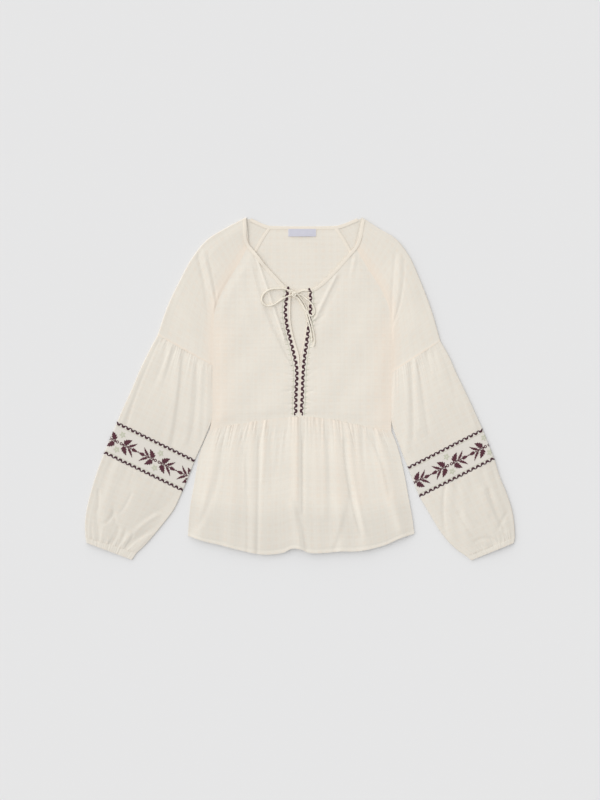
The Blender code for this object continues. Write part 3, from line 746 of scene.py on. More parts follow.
# %% Bodice
OUTWARD = {"left": -1, "right": 1}
WAIST_MIDDLE = -54
RAGLAN_ROWS = 130
SIDE_ROWS = 66
FRONT_STEPS = 105
FINER_INSIDE = 1.6
BACK_STEPS = 70
CORNER_SHARE = 0.02
SLIT_END = 41
BACK_UNEVEN = 0.12
PUCKERS = 25
PUCKER_SEEDS = {"left": 7, "right": 8}
PUCKER_RUN = (-50, 165)
PUCKER_SHIFT = 3
PUCKER_DEPTH = (0.5, 1.4)
PUCKER_REACH = (7, 22)
PUCKER_WIDTH = (1.6, 2.8)
PUCKER_LEAN_AT = (-50, 20, 60, 110, 165)
PUCKER_LEAN = (0.0, 0.25, 0.6, 0.65, 0.4)
PUCKER_TURN = 0.22
STRIP_AWAY = 7
STRIP_AWAY_BELOW = 9
WAIST_LEVEL = 22
FREE_FROM_SLIT = 7
FREE_FROM_SIDE = 22
FRONT_LIFT = 0.95
EDGE_TONES = ((0.5, 2.2), (0.3, 1.6), (0.7, 34))
WARM_TOP = 165
WARM_FADE = 70


def body_side(side, edge, step=1):
    """A bodice panel's outer edge: along the raglan seam, then down the side to the waist."""
    below = even(SIDE[side], SIDE_ROWS // step)
    return np.concatenate([raglan_seam(side, edge, RAGLAN_ROWS // step), below[1:]])


def puckers(side, plan, edge_x):
    """Short creases that the embroidery pulls into the cotton beside the slit, each at its own angle.

    Each is a bell across its line, times a bell along it that starts at the stitching.
    """
    rng = np.random.default_rng(PUCKER_SEEDS[side])
    place = np.linspace(*PUCKER_RUN, PUCKERS) + rng.uniform(-PUCKER_SHIFT, PUCKER_SHIFT, PUCKERS)
    lean = np.interp(place, PUCKER_LEAN_AT, PUCKER_LEAN) + rng.normal(0, PUCKER_TURN, PUCKERS)
    depth, reach, width = (rng.uniform(*span, PUCKERS) for span in (PUCKER_DEPTH, PUCKER_REACH, PUCKER_WIDTH))
    start = np.interp(place, (WAIST_MIDDLE, SLIT_END), (STRIP_AWAY_BELOW, STRIP_AWAY))
    away = ((plan[..., 0] - edge_x) * OUTWARD[side])[..., None] - start
    up = plan[..., 1, None] - place
    along = away * np.cos(lean) + up * np.sin(lean)
    off = up * np.cos(lean) - away * np.sin(lean)
    valleys = depth * bell(off, width) * bell(np.maximum(along, 0), reach) * fade(along / 3 + 1)
    return -valleys.sum(-1)


def make_bodice():
    """The back bodice and the two front halves."""
    sides = {side: body_side(side, "back", 2) for side in ("left", "right")}
    plan = coons(even(NECK_BACK, BACK_STEPS), even(WAIST, BACK_STEPS), sides["left"], sides["right"])
    above_waist = fade((plan[..., 1] + 80) / 60)
    top = BACK_UNEVEN * np.maximum(drift(plan, 3), -0.5) * above_waist
    outer = with_height(plan, WALL + np.minimum(top, LAYER_GAP / 2))
    inner = with_height(plan, hollows("back_bodice", plan))
    made = [shell("back_bodice_cloth", outer, inner, plan, 0, GAUZE)]
    half = len(WAIST) // 2
    waists = {"left": WAIST[:half], "right": WAIST[half - 1:]}
    for side in ("left", "right"):
        outer = body_side(side, "front")
        middle = even((*NECK_FRONT[side], *SLIT[side][1:]), len(outer) - 1)
        keep = np.minimum if side == "left" else np.maximum
        middle[:, 0] = keep(middle[:, 0], -JOIN if side == "left" else JOIN)
        first, last = (outer, middle) if side == "left" else (middle, outer)
        step = np.linspace(0, 1, FRONT_STEPS + 1)
        across_share = 1 - (1 - step) ** FINER_INSIDE if side == "left" else step**FINER_INSIDE
        top = first[0] + (last[0] - first[0]) * across_share[:, None]
        plan = coons(top, smooth(waists[side], across_share), first, last, across_share)
        plan[0] += (plan[1] - plan[0]) * CORNER_SHARE
        from_middle = np.abs(plan[..., 0] - middle[:, None, 0])
        from_side = np.abs(plan[..., 0] - outer[:, None, 0])
        free = fade(from_middle / FREE_FROM_SLIT) * fade(from_side / FREE_FROM_SIDE)
        level = fade((np.arange(len(plan))[::-1, None] * length_of(middle) / len(plan)) / WAIST_LEVEL)
        folds = FRONT_LIFT + relief("front_" + side, plan) + drift(plan, 5)
        height = level * free * (folds + puckers(side, plan, middle[:, None, 0]))
        places = (from_middle, from_side, from_side)
        turned, seam, warm = (size * bell(away, width) for away, (size, width) in zip(places, EDGE_TONES))
        tone = turned + seam + warm * fade((WARM_TOP - plan[..., 1]) / WARM_FADE)
        made.append(panel("front_" + side + "_cloth", plan, UPPER + np.maximum(height, 0), plan, tone, GAUZE))
    return made


bodice = make_bodice()
print("bodice pieces:", [piece.name for piece in bodice])

# %% [markdown]
# The peplum is a wide strip drawn up on a gathering thread and sewn to the waist. The front one shows
# folds that open towards the hem, which is turned up narrowly, so it is lighter and a little thicker.

# %% Peplum
PEPLUM_STEPS = (320, 110)
PEPLUM_BACK_STEPS = (90, 50)
PEPLUM_PUFF = 2.6
PEPLUM_DEPTH = 235
PEPLUM_EDGE = 14
PEPLUM_PUFF_REACH = 90
HEM_WIDTH = 6.5
HEM_RISE = 0.35
HEM_CREASE = (0.35, 1.1)
HEM_TONE = 0.4
SEAM_TONE = (0.35, 14)
# The lower peplum is drawn darker and greyer towards the hem, through tone below 0.
LOWER_DARKENING_SIZE = 0.95
LOWER_DARKENING_START = 140
LOWER_DARKENING_FADE = 45
# Painted light on the peplum's fold ridges and painted shade in its fold valleys, through the tone.
FOLD_PAINTED_LIGHT_AND_SHADE = 0.3


def make_peplum():
    """The back strip, its creases mirrored from the front's, and the folded front strip with its hem."""
    made = []
    for name, (across, rows) in (("peplum_back", PEPLUM_BACK_STEPS), ("peplum_front", PEPLUM_STEPS)):
        edges = [even(PEPLUM_SIDE[side], rows) for side in ("left", "right")]
        plan = coons(even(WAIST, across), even(HEM, across), *edges)
        cut = cut_grid(rows + 1, across + 1, length_of(even(HEM, across)), PEPLUM_DEPTH)
        down = np.linspace(0, PEPLUM_DEPTH, rows + 1)[:, None] * np.ones(across + 1)
        from_hem = PEPLUM_DEPTH - down
        hem = fade((HEM_WIDTH - from_hem) / 1.2)
        tone = SEAM_TONE[0] * bell(down, SEAM_TONE[1]) + HEM_TONE * hem
        # Darker and greyer towards the hem.
        tone -= LOWER_DARKENING_SIZE * fade((down - LOWER_DARKENING_START) / LOWER_DARKENING_FADE)
        if name == "peplum_back":
            inner = with_height(plan, hollows("peplum_front", plan * (-1, 1)))
            made.append(shell(name + "_cloth", with_height(plan, WALL), inner, cut, tone, GAUZE))
            continue
        share = np.linspace(0, 1, across + 1) * np.ones((rows + 1, 1))
        free = between(share, PEPLUM_EDGE)
        puff = PEPLUM_PUFF * fade(down / PEPLUM_PUFF_REACH)
        folds = relief(name, plan)
        # Painted light on the fold ridges and painted shade in the fold valleys.
        tone = tone + FOLD_PAINTED_LIGHT_AND_SHADE * np.clip(folds, -1.5, 1.5)
        height = puff + folds + gathers(name, share, down, 2) + drift(plan, 8)
        crease = HEM_CREASE[0] * bell(from_hem - HEM_WIDTH, HEM_CREASE[1])
        under = UPPER + np.maximum(free * height, 0) + HEM_RISE * hem - crease * free
        made.append(panel(name + "_cloth", plan, np.maximum(under, UPPER - 0.1), cut, tone, GAUZE))
    return made


peplum = make_peplum()
print("the peplum's hem is", round(length_of(even(HEM, 90))), "mm as laid")

# %% [markdown]
# A sleeve laid flat is a tube pressed almost shut. Along each row the cloth starts at the front seam,
# crosses the top, turns round the outer fold in half a circle, and comes back underneath. One function
# makes every sleeve piece, from the raglan shoulder to the cuff, and a table says how fine each is and
# how high it puffs. The raglan's lower edge is turned under and stitched down, which makes a light ridge.

# %% Sleeves
FOLD_STEPS = 10
SLEEVE_PIECE_COLUMNS = (
    "piece", "start", "end", "rows", "top", "under",
    "puff", "ridge", "off_table", "tone_start", "tone_end", "warm",
)
# Tone_start and tone_end below 0 are painted shade on the lower sleeve and cuff, and make the upper sleeve
# darker towards the band.
SLEEVE_PIECES = (
    ("raglan", "neck", "drop", 110, 62, 26, 0.5, 0.35, 0, 0.1, 0.0, 0.9),
    ("sleeve", "drop", "band_top", 100, 120, 32, 1.2, 0.0, 0, 0.0, -0.8, 0.4),
    ("band", "band_top", "band_end", 34, 76, 40, 0.4, 0.0, 0.3, 0.0, 0.0, 0.0),
    ("lower_sleeve", "band_end", "cuff_top", 92, 92, 32, 2.4, 0.0, 0, -0.9, -0.9, 0.3),
    ("cuff", "cuff_top", "cuff_end", 12, 150, 40, 0.5, 0.0, 0, -0.6, -0.6, 0.0),
)
WARM_WIDTH = 15
OUTER_FOLD_SHADE_WIDTH = 26
FREE_FROM_SEAM = 5
FREE_FROM_FOLD = 9
# Painted shade round the outer fold of the raglan and the sleeves.
OUTER_FOLD_SHADE = 0.35
TONE_POWER = 1.6
FAR = 200.0
RIDGE_WIDTH = 3.2
INNER_RADIUS = (UPPER + WALL) / 2


def wrap(name, fold, front, back, piece, finish, seed):
    """A sleeve piece from its front edge over the top, round the outer fold and under to its back edge.

    Along each row the top rises from the front edge to the fold, plus the puff, folds and gathers; the
    fold is half a circle. A piece below the raglan is a closed tube, so it also turns round the underarm
    in half a circle; the raglan ends flat at its two seams. The cut is given as the places round the
    piece, its length, and the place where the fold ends.
    """
    closed = piece["piece"] != "raglan"
    toward = fold - front
    toward /= np.linalg.norm(toward, axis=1, keepdims=True)
    centre = fold - toward * FOLD_RADIUS
    if closed:
        front = back = front + toward * INNER_RADIUS
    share = np.linspace(0, 1, piece["top"] + 1)
    plan = front[:, None] + (centre - front)[:, None] * share[:, None]
    under = UPPER + (2 * FOLD_RADIUS - WALL - UPPER) * fade(share * 1.4)
    down_share = np.linspace(0, 1, len(fold))[:, None]
    run = length_of((fold + front) / 2)
    down = down_share * run * np.ones(len(share))
    rise = piece["puff"] * np.sin(np.pi * share) ** 0.8 * np.sin(np.pi * (0.15 + 0.7 * down_share))
    reach = np.linalg.norm(centre - front, axis=1)[:, None]
    ends = fade(share * reach / FREE_FROM_SEAM) * fade((1 - share) * reach / FREE_FROM_FOLD)
    height = rise + relief(name, plan) + gathers(name, share * np.ones((len(fold), 1)), down, seed)
    under = under + ends * (height + drift(plan, seed))
    under = under + piece["ridge"] * bell(run - down, RIDGE_WIDTH) * ends
    top = np.maximum(under, UPPER - 0.05) + WALL
    angle = np.linspace(np.pi / 2, -np.pi / 2, FOLD_STEPS + 1)[1:-1]

    def arc(middle, radius, depth, way):
        """Half an oval for each row, from the top to the under side: down outside the fold, up inside it."""
        spots = middle[:, None] + toward[:, None] * (way * (radius - depth) * np.cos(angle))[:, None]
        tall = radius - piece["off_table"] / 2
        return with_height(spots, 2 * radius - tall + way * (tall - depth) * np.sin(angle))

    below_share = np.linspace(0, 1, piece["under"] + 1)
    below = centre[:, None] + (back - centre)[:, None] * below_share[:, None]
    under_rise = hollows(name, below)

    def layer(depth):
        """The piece's surface at a depth below its outer face."""
        parts = [with_height(plan, top - depth), arc(centre, FOLD_RADIUS, depth, 1)]
        parts.append(with_height(below, depth + piece["off_table"] + under_rise))
        if closed:
            parts.append(arc(front, INNER_RADIUS, depth, -1))
        return np.concatenate(parts, axis=1)

    outer, inner = layer(0), layer(SHELL)
    middle = outer[len(outer) // 2]
    around = np.r_[0, np.cumsum(np.linalg.norm(np.diff(middle, axis=0), axis=1))]
    cut = np.dstack(np.broadcast_arrays(around[None], (1 - down_share) * run))
    rest = ((0, 0), (0, outer.shape[1] - len(share)))
    from_front = np.pad(share * reach, rest, constant_values=FAR)
    from_fold = np.pad((1 - share) * reach, rest)
    # Painted shade: the lower sleeve and cuff are darker all over, and the upper sleeve is darker towards the
    # band.
    tone = piece["tone_start"] + (piece["tone_end"] - piece["tone_start"]) * down_share**TONE_POWER
    tone = tone + (piece["ridge"] > 0) * bell(run * (1 - down_share), RIDGE_WIDTH)
    tone = tone + piece["warm"] * bell(from_front, WARM_WIDTH)
    # Painted shade on the cloth near the outer fold, on the fold and underneath.
    tone = tone - OUTER_FOLD_SHADE * (piece["warm"] > 0) * bell(from_fold, OUTER_FOLD_SHADE_WIDTH)
    if side_turn(plan) < 0:
        outer, inner, cut, tone = (grid[:, ::-1] for grid in (outer, inner, cut, tone))
    made = shell(name + "_cloth", outer, inner, cut, tone, finish, closed)
    return made, (around, run, around[piece["top"] + FOLD_STEPS - 2])


def side_turn(plan):
    """Positive where a grid's columns run to the right of its rows' way down, seen from above."""
    down, across = plan[-1, 0] - plan[0, 0], plan[0, -1] - plan[0, 0]
    return down[0] * across[1] - down[1] * across[0]


def make_sleeves():
    """Both sleeves, piece by piece, with each piece's cut width and length."""
    made, cuts = {}, {}
    for side_number, side in enumerate(("left", "right")):
        for number, row in enumerate(SLEEVE_PIECES):
            piece = dict(zip(SLEEVE_PIECE_COLUMNS, row))
            if piece["piece"] == "raglan":
                edges = [raglan_seam(side, edge, piece["rows"]) for edge in ("outer", "front", "back")]
            else:
                names = [station[0] for station in SLEEVE[side]]
                stations = SLEEVE[side][names.index(piece["start"]):names.index(piece["end"]) + 1]
                fold = even(columns(stations, SLEEVE_COLUMNS, "outer_x", "outer_y"), piece["rows"])
                seam = even(columns(stations, SLEEVE_COLUMNS, "inner_x", "inner_y"), piece["rows"])
                edges = [fold, seam, seam]
            name = piece["piece"] + "_" + side
            finish = BAND_CLOTH if piece["piece"] == "band" else GAUZE
            made[name], cuts[name] = wrap(name, *edges, piece, finish, 20 + 10 * side_number + number)
    return made, cuts


sleeves, sleeve_cuts = make_sleeves()
print("sleeve pieces:", {name: (round(cut[0][-1]), round(cut[1])) for name, cut in sleeve_cuts.items()})

# %% [markdown]
# Embroidery lies on the cloth, so each stitch is placed by the cloth itself. On a sleeve band a point is
# named by how far it is round the sleeve and how far down, and the band's grid gives its place and its
# normal. On the flat parts it is enough to know how high the cloth is, so every shell is also drawn into
# a map of heights, one cell to a millimetre, as on a survey.

# %% Places on the cloth
MAP_CORNER = np.array([-420, -340])
MAP_CELLS = (850, 700)
MAP_SPACING = 0.6


def circle(turn):
    """Points of a circle of radius 1 at the given angles."""
    return np.stack([np.cos(turn), np.sin(turn)], 1)


def read_grid(grid, row, column):
    """A grid read between its points, straight along both ways."""
    top = np.clip(row.astype(int), 0, grid.shape[0] - 2)
    left = np.clip(column.astype(int), 0, grid.shape[1] - 2)
    v, u = row - top, column - left
    if grid.ndim == 3:
        v, u = v[..., None], u[..., None]
    upper = grid[top, left] * (1 - u) + grid[top, left + 1] * u
    lower = grid[top + 1, left] * (1 - u) + grid[top + 1, left + 1] * u
    return upper * (1 - v) + lower * v


class Heights:
    """The top of everything laid so far, over cells of one millimetre."""

    def __init__(self):
        self.tops = np.zeros(MAP_CELLS)

    def add(self, grid):
        """Draws a grid into the map: it is read at close steps, and each cell keeps its highest point."""
        steps = [np.abs(np.diff(grid[..., :2], axis=axis)).max() for axis in (0, 1)]
        rows, across = (int(size * max(1, step / MAP_SPACING)) + 1 for size, step in zip(grid.shape, steps))
        row, column = np.meshgrid(
            np.linspace(0, grid.shape[0] - 1, rows), np.linspace(0, grid.shape[1] - 1, across), indexing="ij"
        )
        points = read_grid(grid, row, column).reshape(-1, 3)
        cell = np.round(points[:, :2] - MAP_CORNER).astype(int)
        np.maximum.at(self.tops, (cell[:, 0], cell[:, 1]), points[:, 2])

    def add_strip(self, plan, side, reach, top):
        """Draws a strip along a line into the map, a reach to each side of it."""
        self.add(np.stack([np.c_[plan + side * share * reach, top] for share in (-1, 0, 1)]))

    def place(self, x, y, lift):
        """Points of the cloth moved up."""
        return np.stack([x, y, read_grid(self.tops, x - MAP_CORNER[0], y - MAP_CORNER[1]) + lift], -1)

    def highest(self, plan, reach):
        """The highest top within a reach of each plan point."""
        ring = circle(np.linspace(0, 2 * np.pi, 12, endpoint=False))
        offsets = np.concatenate([ring * reach, ring * reach / 2, [[0, 0]]])
        near = plan[:, None] + offsets
        return self.place(near[..., 0], near[..., 1], 0)[..., 2].max(axis=1)


class Band:
    """A band as a map: distance round the sleeve and distance down, in millimetres."""

    def __init__(self, grid, cut, turned):
        grid = grid[:, ::-1] if turned else grid
        down, across = np.gradient(grid, axis=0), np.gradient(grid, axis=1)
        normal = np.cross(across, down) if turned else np.cross(down, across)
        self.grid, self.normal = grid, normal / np.linalg.norm(normal, axis=2, keepdims=True)
        self.around, self.run, self.top_end = cut

    def place(self, round_mm, down_mm, lift):
        """Points of the cloth moved out along its normal."""
        column = np.interp(round_mm, self.around, np.arange(len(self.around)))
        row = np.clip(down_mm / self.run, 0, 1) * (len(self.grid) - 1)
        return read_grid(self.grid, row, column) + read_grid(self.normal, row, column) * lift[..., None]


survey = Heights()
for grid in shells.values():
    survey.add(grid)
bands = {}
for side in ("left", "right"):
    band = Band(shells["band_" + side + "_cloth"], sleeve_cuts["band_" + side], side == "left")
    print("the", side, "band is", round(band.around[-1]), "mm round and", round(band.run), "mm deep")
    bands[side] = band
print("the cloth's highest point is", round(survey.tops.max(), 1), "mm above the table")

# %% [markdown]
# A cord, a binding and a raised stitch are the same shape: an oval carried along a path. One function
# makes any number of them at once. The oval's width and height may change along the path, so a leaf in
# satin stitch is only an oval that swells and narrows.

# %% Ovals along paths
AROUND = 8
OVAL_SHARP = 50
STITCH_HALF = 0.6
STITCH_MIDDLE = 0.3


def oval_faces(count, along, around=AROUND):
    """The faces of so many tubes of rings, each with four-sided faces and closed ends."""
    ring = grid_quads(along, around, True)
    step = np.arange(around // 2 - 1)
    cap = np.stack([step, step + 1, around - 2 - step, around - 1 - step], -1)
    faces = np.concatenate([ring[:, ::-1], cap[:, ::-1], cap + (along - 1) * around])
    return (faces + (np.arange(count) * along * around)[:, None, None]).reshape(-1, 4)


def sideways(paths):
    """The unit vector to the left of each path in plan."""
    run = np.gradient(paths, axis=-2)
    side = np.stack([-run[..., 1], run[..., 0]], -1)
    return side / np.maximum(np.linalg.norm(side, axis=-1, keepdims=True), 1e-9)


def cut_of(paths, offsets):
    """Cut places for tubes: across each ring, and along its path."""
    steps = np.linalg.norm(np.diff(paths, axis=1), axis=2)
    along = np.concatenate([np.zeros((len(paths), 1)), np.cumsum(steps, axis=1)], axis=1)
    return np.stack(np.broadcast_arrays(offsets, along[..., None]), -1).reshape(-1, 2) * MM


def stitches(ground, paths, widths, heights):
    """Raised stitches on the cloth: for each path an oval of a width, its lower part sunk into the cloth."""
    paths = np.asarray(paths, float)
    widths, heights = (np.broadcast_to(value, paths.shape[:2]) for value in (widths, heights))
    turn = np.linspace(0, 2 * np.pi, AROUND, endpoint=False) + np.pi / AROUND
    offset = widths[..., None] / 2 * np.cos(turn)
    spots = paths[:, :, None] + sideways(paths)[:, :, None] * offset[..., None]
    lift = heights[..., None] * (STITCH_HALF * np.sin(turn) + STITCH_MIDDLE)
    points = ground.place(spots[..., 0], spots[..., 1], lift).reshape(-1, 3)
    return points, oval_faces(*paths.shape[:2]), cut_of(paths, offset)


def joined(name, parts, finish):
    """One mesh from several sets of points, faces and cut places."""
    points, faces, cut = zip(*parts)
    starts = np.cumsum([0] + [len(part) for part in points])
    faces = np.concatenate([part + start for part, start in zip(faces, starts)])
    points = np.concatenate(points)
    return write_mesh(name, points, faces, finish, np.concatenate(cut), np.zeros(len(points)), OVAL_SHARP)


def rope(path, width, height=None, around=12, power=1.0):
    """A tube with an oval section along one path in space; a power below 1 makes the oval boxier."""
    path = np.asarray(path, float)
    height = width if height is None else height
    width, height = (np.broadcast_to(value, len(path)) for value in (width, height))
    run = np.gradient(path, axis=0)
    run /= np.linalg.norm(run, axis=1, keepdims=True)
    side = np.cross((0, 0, 1), run)
    side /= np.maximum(np.linalg.norm(side, axis=1, keepdims=True), 1e-9)
    up = np.cross(run, side)
    turn = np.linspace(0, 2 * np.pi, around, endpoint=False)
    cosine, sine = (np.sign(wave) * np.abs(wave) ** power for wave in (np.cos(turn), np.sin(turn)))
    across = (width / 2)[:, None, None] * cosine[:, None] * side[:, None]
    along = (height / 2)[:, None, None] * sine[:, None] * up[:, None]
    points = (path[:, None] + across + along).reshape(-1, 3)
    offset = np.broadcast_to(turn * width.max() / 2, (1, len(path), around))
    return points, oval_faces(1, len(path), around), cut_of(path[None], offset)


print("an oval of", AROUND, "points makes", len(oval_faces(1, 10)), "faces over ten rings")

# %% [markdown]
# The neck and the slit are bound with a bias strip, folded over the raw edge. It shows as a smooth, bright
# roll. Its back stretch lies on the back bodice, and the front ones climb over the raglan seams to the
# shoulders.

# %% Neck binding and label
BINDING_WIDTH = 6.2
BINDING_HEIGHT = 0.8
BINDING_STEP = 2.5
BINDING_REACH = 2.4
BINDING_SINK = 0.25
FLAT_ROUND = (16, 0.5)
BACK_BINDING_END = np.array([9, -2])
SHOULDER_INSET = np.array([0, -4])
BACK_SEAM_SIZE = (5.5, 0.9)
BACK_SEAM_LIFT = 0.2
BACK_SEAMS = {"left": ((-57, 300), (-68, 284), (-84, 256)), "right": ((67, 300), (79, 282), (95, 254))}
LABEL_SIZE = (52, 14)
LABEL_PLACE = (4, 291)
LABEL_STEPS = (53, 15)
LABEL_WALL = 0.7
LABEL_LIFT = 0.2
LABEL_BOW = 0.5
SLIT_EDGE_SIZE = (2.6, 1.3)
SLIT_EDGE_AWAY = 0.9
SLIT_EDGE_STEPS = 60


def carried(heights, reach):
    """Heights along a run, each raised to the highest within a reach of steps, then smoothed."""
    padded = np.pad(heights, reach, mode="edge")
    windows = np.lib.stride_tricks.sliding_window_view(padded, 2 * reach + 1)
    padded = np.pad(windows.max(axis=1), reach, mode="edge")
    return np.lib.stride_tricks.sliding_window_view(padded, 2 * reach + 1).mean(axis=1)


def make_bindings():
    """Three stretches of binding, each an oval strip that rests on the cloth below it, and their lengths."""
    left, right = (np.array(SHOULDER[side]) for side in ("left", "right"))
    back = [left + BACK_BINDING_END, *NECK_BACK, right + BACK_BINDING_END * (-1, 1)]
    edges = {"binding_back": (back, -1)}
    for side, outward in OUTWARD.items():
        edges["binding_" + side] = ([SHOULDER[side] + SHOULDER_INSET, *NECK_FRONT[side]], outward)
    made, lengths = {}, {}
    for name, (points, onto) in edges.items():
        line = even(points, int(length_of(np.array(points)) / BINDING_STEP))
        side = sideways(line)
        plan = line + side * onto * BINDING_WIDTH / 2
        floor = np.maximum(carried(survey.highest(plan, BINDING_WIDTH / 2), 2), WALL)
        path = np.c_[plan, floor + BINDING_HEIGHT / 2 - BINDING_SINK]
        made[name] = joined(name + "_strip", [rope(path, BINDING_WIDTH, BINDING_HEIGHT, *FLAT_ROUND)], TRIM)
        lengths[name] = length_of(path) * MM
        survey.add_strip(plan, side, BINDING_REACH, path[:, 2] + BINDING_HEIGHT / 2)
    return made, lengths


def make_back_seams():
    """The back raglan seams inside the neck: a narrow pressed strip of both edges, stitched down."""
    made = {}
    for side, line in BACK_SEAMS.items():
        plan = even(line, 40)
        path = np.c_[plan, np.full(len(plan), WALL + BACK_SEAM_LIFT)]
        name = "back_seam_" + side
        made[name] = joined(name, [rope(path, *BACK_SEAM_SIZE, *FLAT_ROUND)], TRIM)
    return made


def make_slit_edges():
    """The slit's two turned edges, rolled narrow, from the neck to its lower end."""
    made = {}
    width, height = SLIT_EDGE_SIZE
    taper = np.minimum(1, 0.3 + np.arange(SLIT_EDGE_STEPS + 1)[::-1] / 8)
    for side, outward in OUTWARD.items():
        points = [point for point in SLIT[side] if point[1] >= SLIT_END]
        plan = even(points, SLIT_EDGE_STEPS) + (outward * SLIT_EDGE_AWAY, 0)
        floor = carried(survey.highest(plan, 0.8), 1)
        roll = rope(np.c_[plan, floor], width * taper, height)
        made["slit_" + side] = joined("slit_edge_" + side, [roll], TRIM)
        survey.add_strip(plan, np.array([1, 0]), 1, floor + 0.5)
    return made


def make_label():
    """A blank woven tab, slightly bowed, with its two ends stitched down."""
    across, down = np.meshgrid(*(np.linspace(-1, 1, count) for count in LABEL_STEPS))
    down = -down
    cut = np.dstack([across, down]) * np.array(LABEL_SIZE) / 2
    under = WALL + LABEL_LIFT + LABEL_BOW * (1 - across**2) * (1 - 0.3 * down)
    top, under = (with_height(cut + LABEL_PLACE, height) for height in (under + LABEL_WALL, under))
    edge = (np.abs(across) > 0.95).astype(float)
    return shell("label_tab", top, under, cut, edge, LABEL_CLOTH)


back_seams = make_back_seams()
bindings, binding_lengths = make_bindings()
slit_edges = make_slit_edges()
label = make_label()
print("bindings:", {name: round(length, 3) for name, length in binding_lengths.items()}, "m")

# %% [markdown]
# Two strips of dark thread run down the front beside the slit, and between them lies the seam. Each is
# a thick meander, an S repeated, with short pale stitches on its outer side.

# %% Front embroidery
STRIP = {
    "left": (
        (287.4, 287), (286.4, 296), (285.5, 304), (285, 311.6), (285.5, 318), (287, 328), (289.3, 337),
        (291.7, 347), (294, 356.6), (296, 366), (296.5, 376), (296, 385), (295.5, 400), (295.3, 415),
    ),
    "right": (
        (309.9, 288.6), (310.6, 294), (311, 302), (310.8, 310.6), (310.3, 318), (309, 328), (307.8, 337),
        (306.5, 347), (305, 356.6), (304, 366), (303.3, 376), (303, 385), (302.7, 395), (302.2, 404),
        (301.7, 415),
    ),
}
THREAD_LIFT = 0.55
STRIP_PITCH = 10.3
STRIP_SWING = 1.7
STRIP_WIDTH = 3.7
STRIP_SWELL = 1.5
TICK_LENGTH = 5.2
TICK_START = 3.6
TICK_SHARE = 0.75
EDGE_AWAY = 5.2
FINE_STITCH = (0.9, 0.3)
MEANDER_SHARPNESS = 1.6


def meander(angle):
    """A wave from -1 to 1 with broad tops: tanh of a sine, over its largest value."""
    return np.tanh(MEANDER_SHARPNESS * np.sin(angle)) / np.tanh(MEANDER_SHARPNESS)


def front_strip(side):
    """A meander down one side of the slit, thickest where it bulges to the slit, and its pale ticks."""
    line = (np.array(STRIP[side]) - PHOTO_MIDDLE) * (PHOTO_SCALE, -PHOTO_SCALE)
    count = round(length_of(line) / STRIP_PITCH)
    middle = even(line, count * 16)
    outward = OUTWARD[side]
    swing = meander(np.linspace(0, 2 * np.pi * count, len(middle)))
    path = middle - sideways(middle) * (outward * STRIP_SWING * swing)[:, None]
    spots = even(line, count)[:-1] + (0, -STRIP_PITCH * TICK_SHARE)
    t = np.linspace(0, 1, 5)[:, None]
    ticks = spots[:, None] + (outward, 0) * (TICK_START + t * TICK_LENGTH)
    edge = middle + sideways(middle) * outward * EDGE_AWAY
    wave = stitches(survey, [path], [STRIP_WIDTH + STRIP_SWELL * swing], THREAD_LIFT)
    return [wave], [stitches(survey, ticks, *FINE_STITCH), stitches(survey, [edge], *FINE_STITCH)]


for side in ("left", "right"):
    for kind, parts, thread in zip(("strip_", "ticks_"), front_strip(side), (AUBERGINE, SAGE)):
        joined(kind + side, parts, thread)
        kind + side

# %% [markdown]
# The tie is a rouleau: a bias strip sewn into a thin tube. Each side of the neck has its own, and the two
# are tied in a bow. One goes from the left corner through the knot, round the small right loop and out as
# the longer tail; the other goes from the right corner round the large left loop and out as the shorter
# tail. Each is one path that rests on whatever lies below it.

# %% Tie
CORD_DIAMETER = 2.8
CORD_RINGS = 1.2
CORD_SINK = 0.3
CORD_REACH = 0.9
END_KNOT_SIZE = (2.6, 3.8)
END_KNOT_LIFT = np.array([0, 0, 0.2])
END_TAPER = 0.55
KNOT_PLACE = (-10, 176, 6.4)
KNOT_SIZE = np.array([5.6, 4.8, 1.5])
KNOT_CORD = 2.4
TIE = {
    "short": (
        (16.4, 182.6), (8, 182.8), (1, 181), (-5, 178.2), (-10, 177.6), (-15.4, 178.6), (-20, 182),
        (-28, 185.6), (-42, 186), (-56, 184), (-66, 178), (-71, 170), (-71, 162), (-66, 156), (-56, 154),
        (-47, 157), (-38, 163), (-28, 169.5), (-21, 172.5), (-15.4, 174), (-9, 173), (-3, 168), (3, 158),
        (8, 148), (12, 137), (15.4, 126), (17.4, 118), (19.8, 108), (21.6, 98), (22.4, 88),
    ),
    "long": (
        (-17.4, 183), (-14.6, 181.2), (-11, 178), (-4.9, 175.4), (2, 174), (10, 168.5), (19, 161), (25, 153),
        (27, 144), (25.6, 137.6), (21, 135), (15.6, 137.5), (11, 145), (6, 154), (1, 162), (-3, 167),
        (-7, 170), (-12, 171.6), (-14, 175.6), (-11, 179), (-6.4, 177.6), (-2, 172.6), (3, 166), (9, 157),
        (13.5, 146), (17, 134), (20, 124), (23, 114), (25.4, 104), (26.6, 95), (27, 85), (25.4, 78),
    ),
}
TIE_NODES = {
    "short": ("tie_run_right", "tie_loop_left", "tie_tail_short"),
    "long": ("tie_run_left", "tie_loop_right", "tie_tail_long"),
}


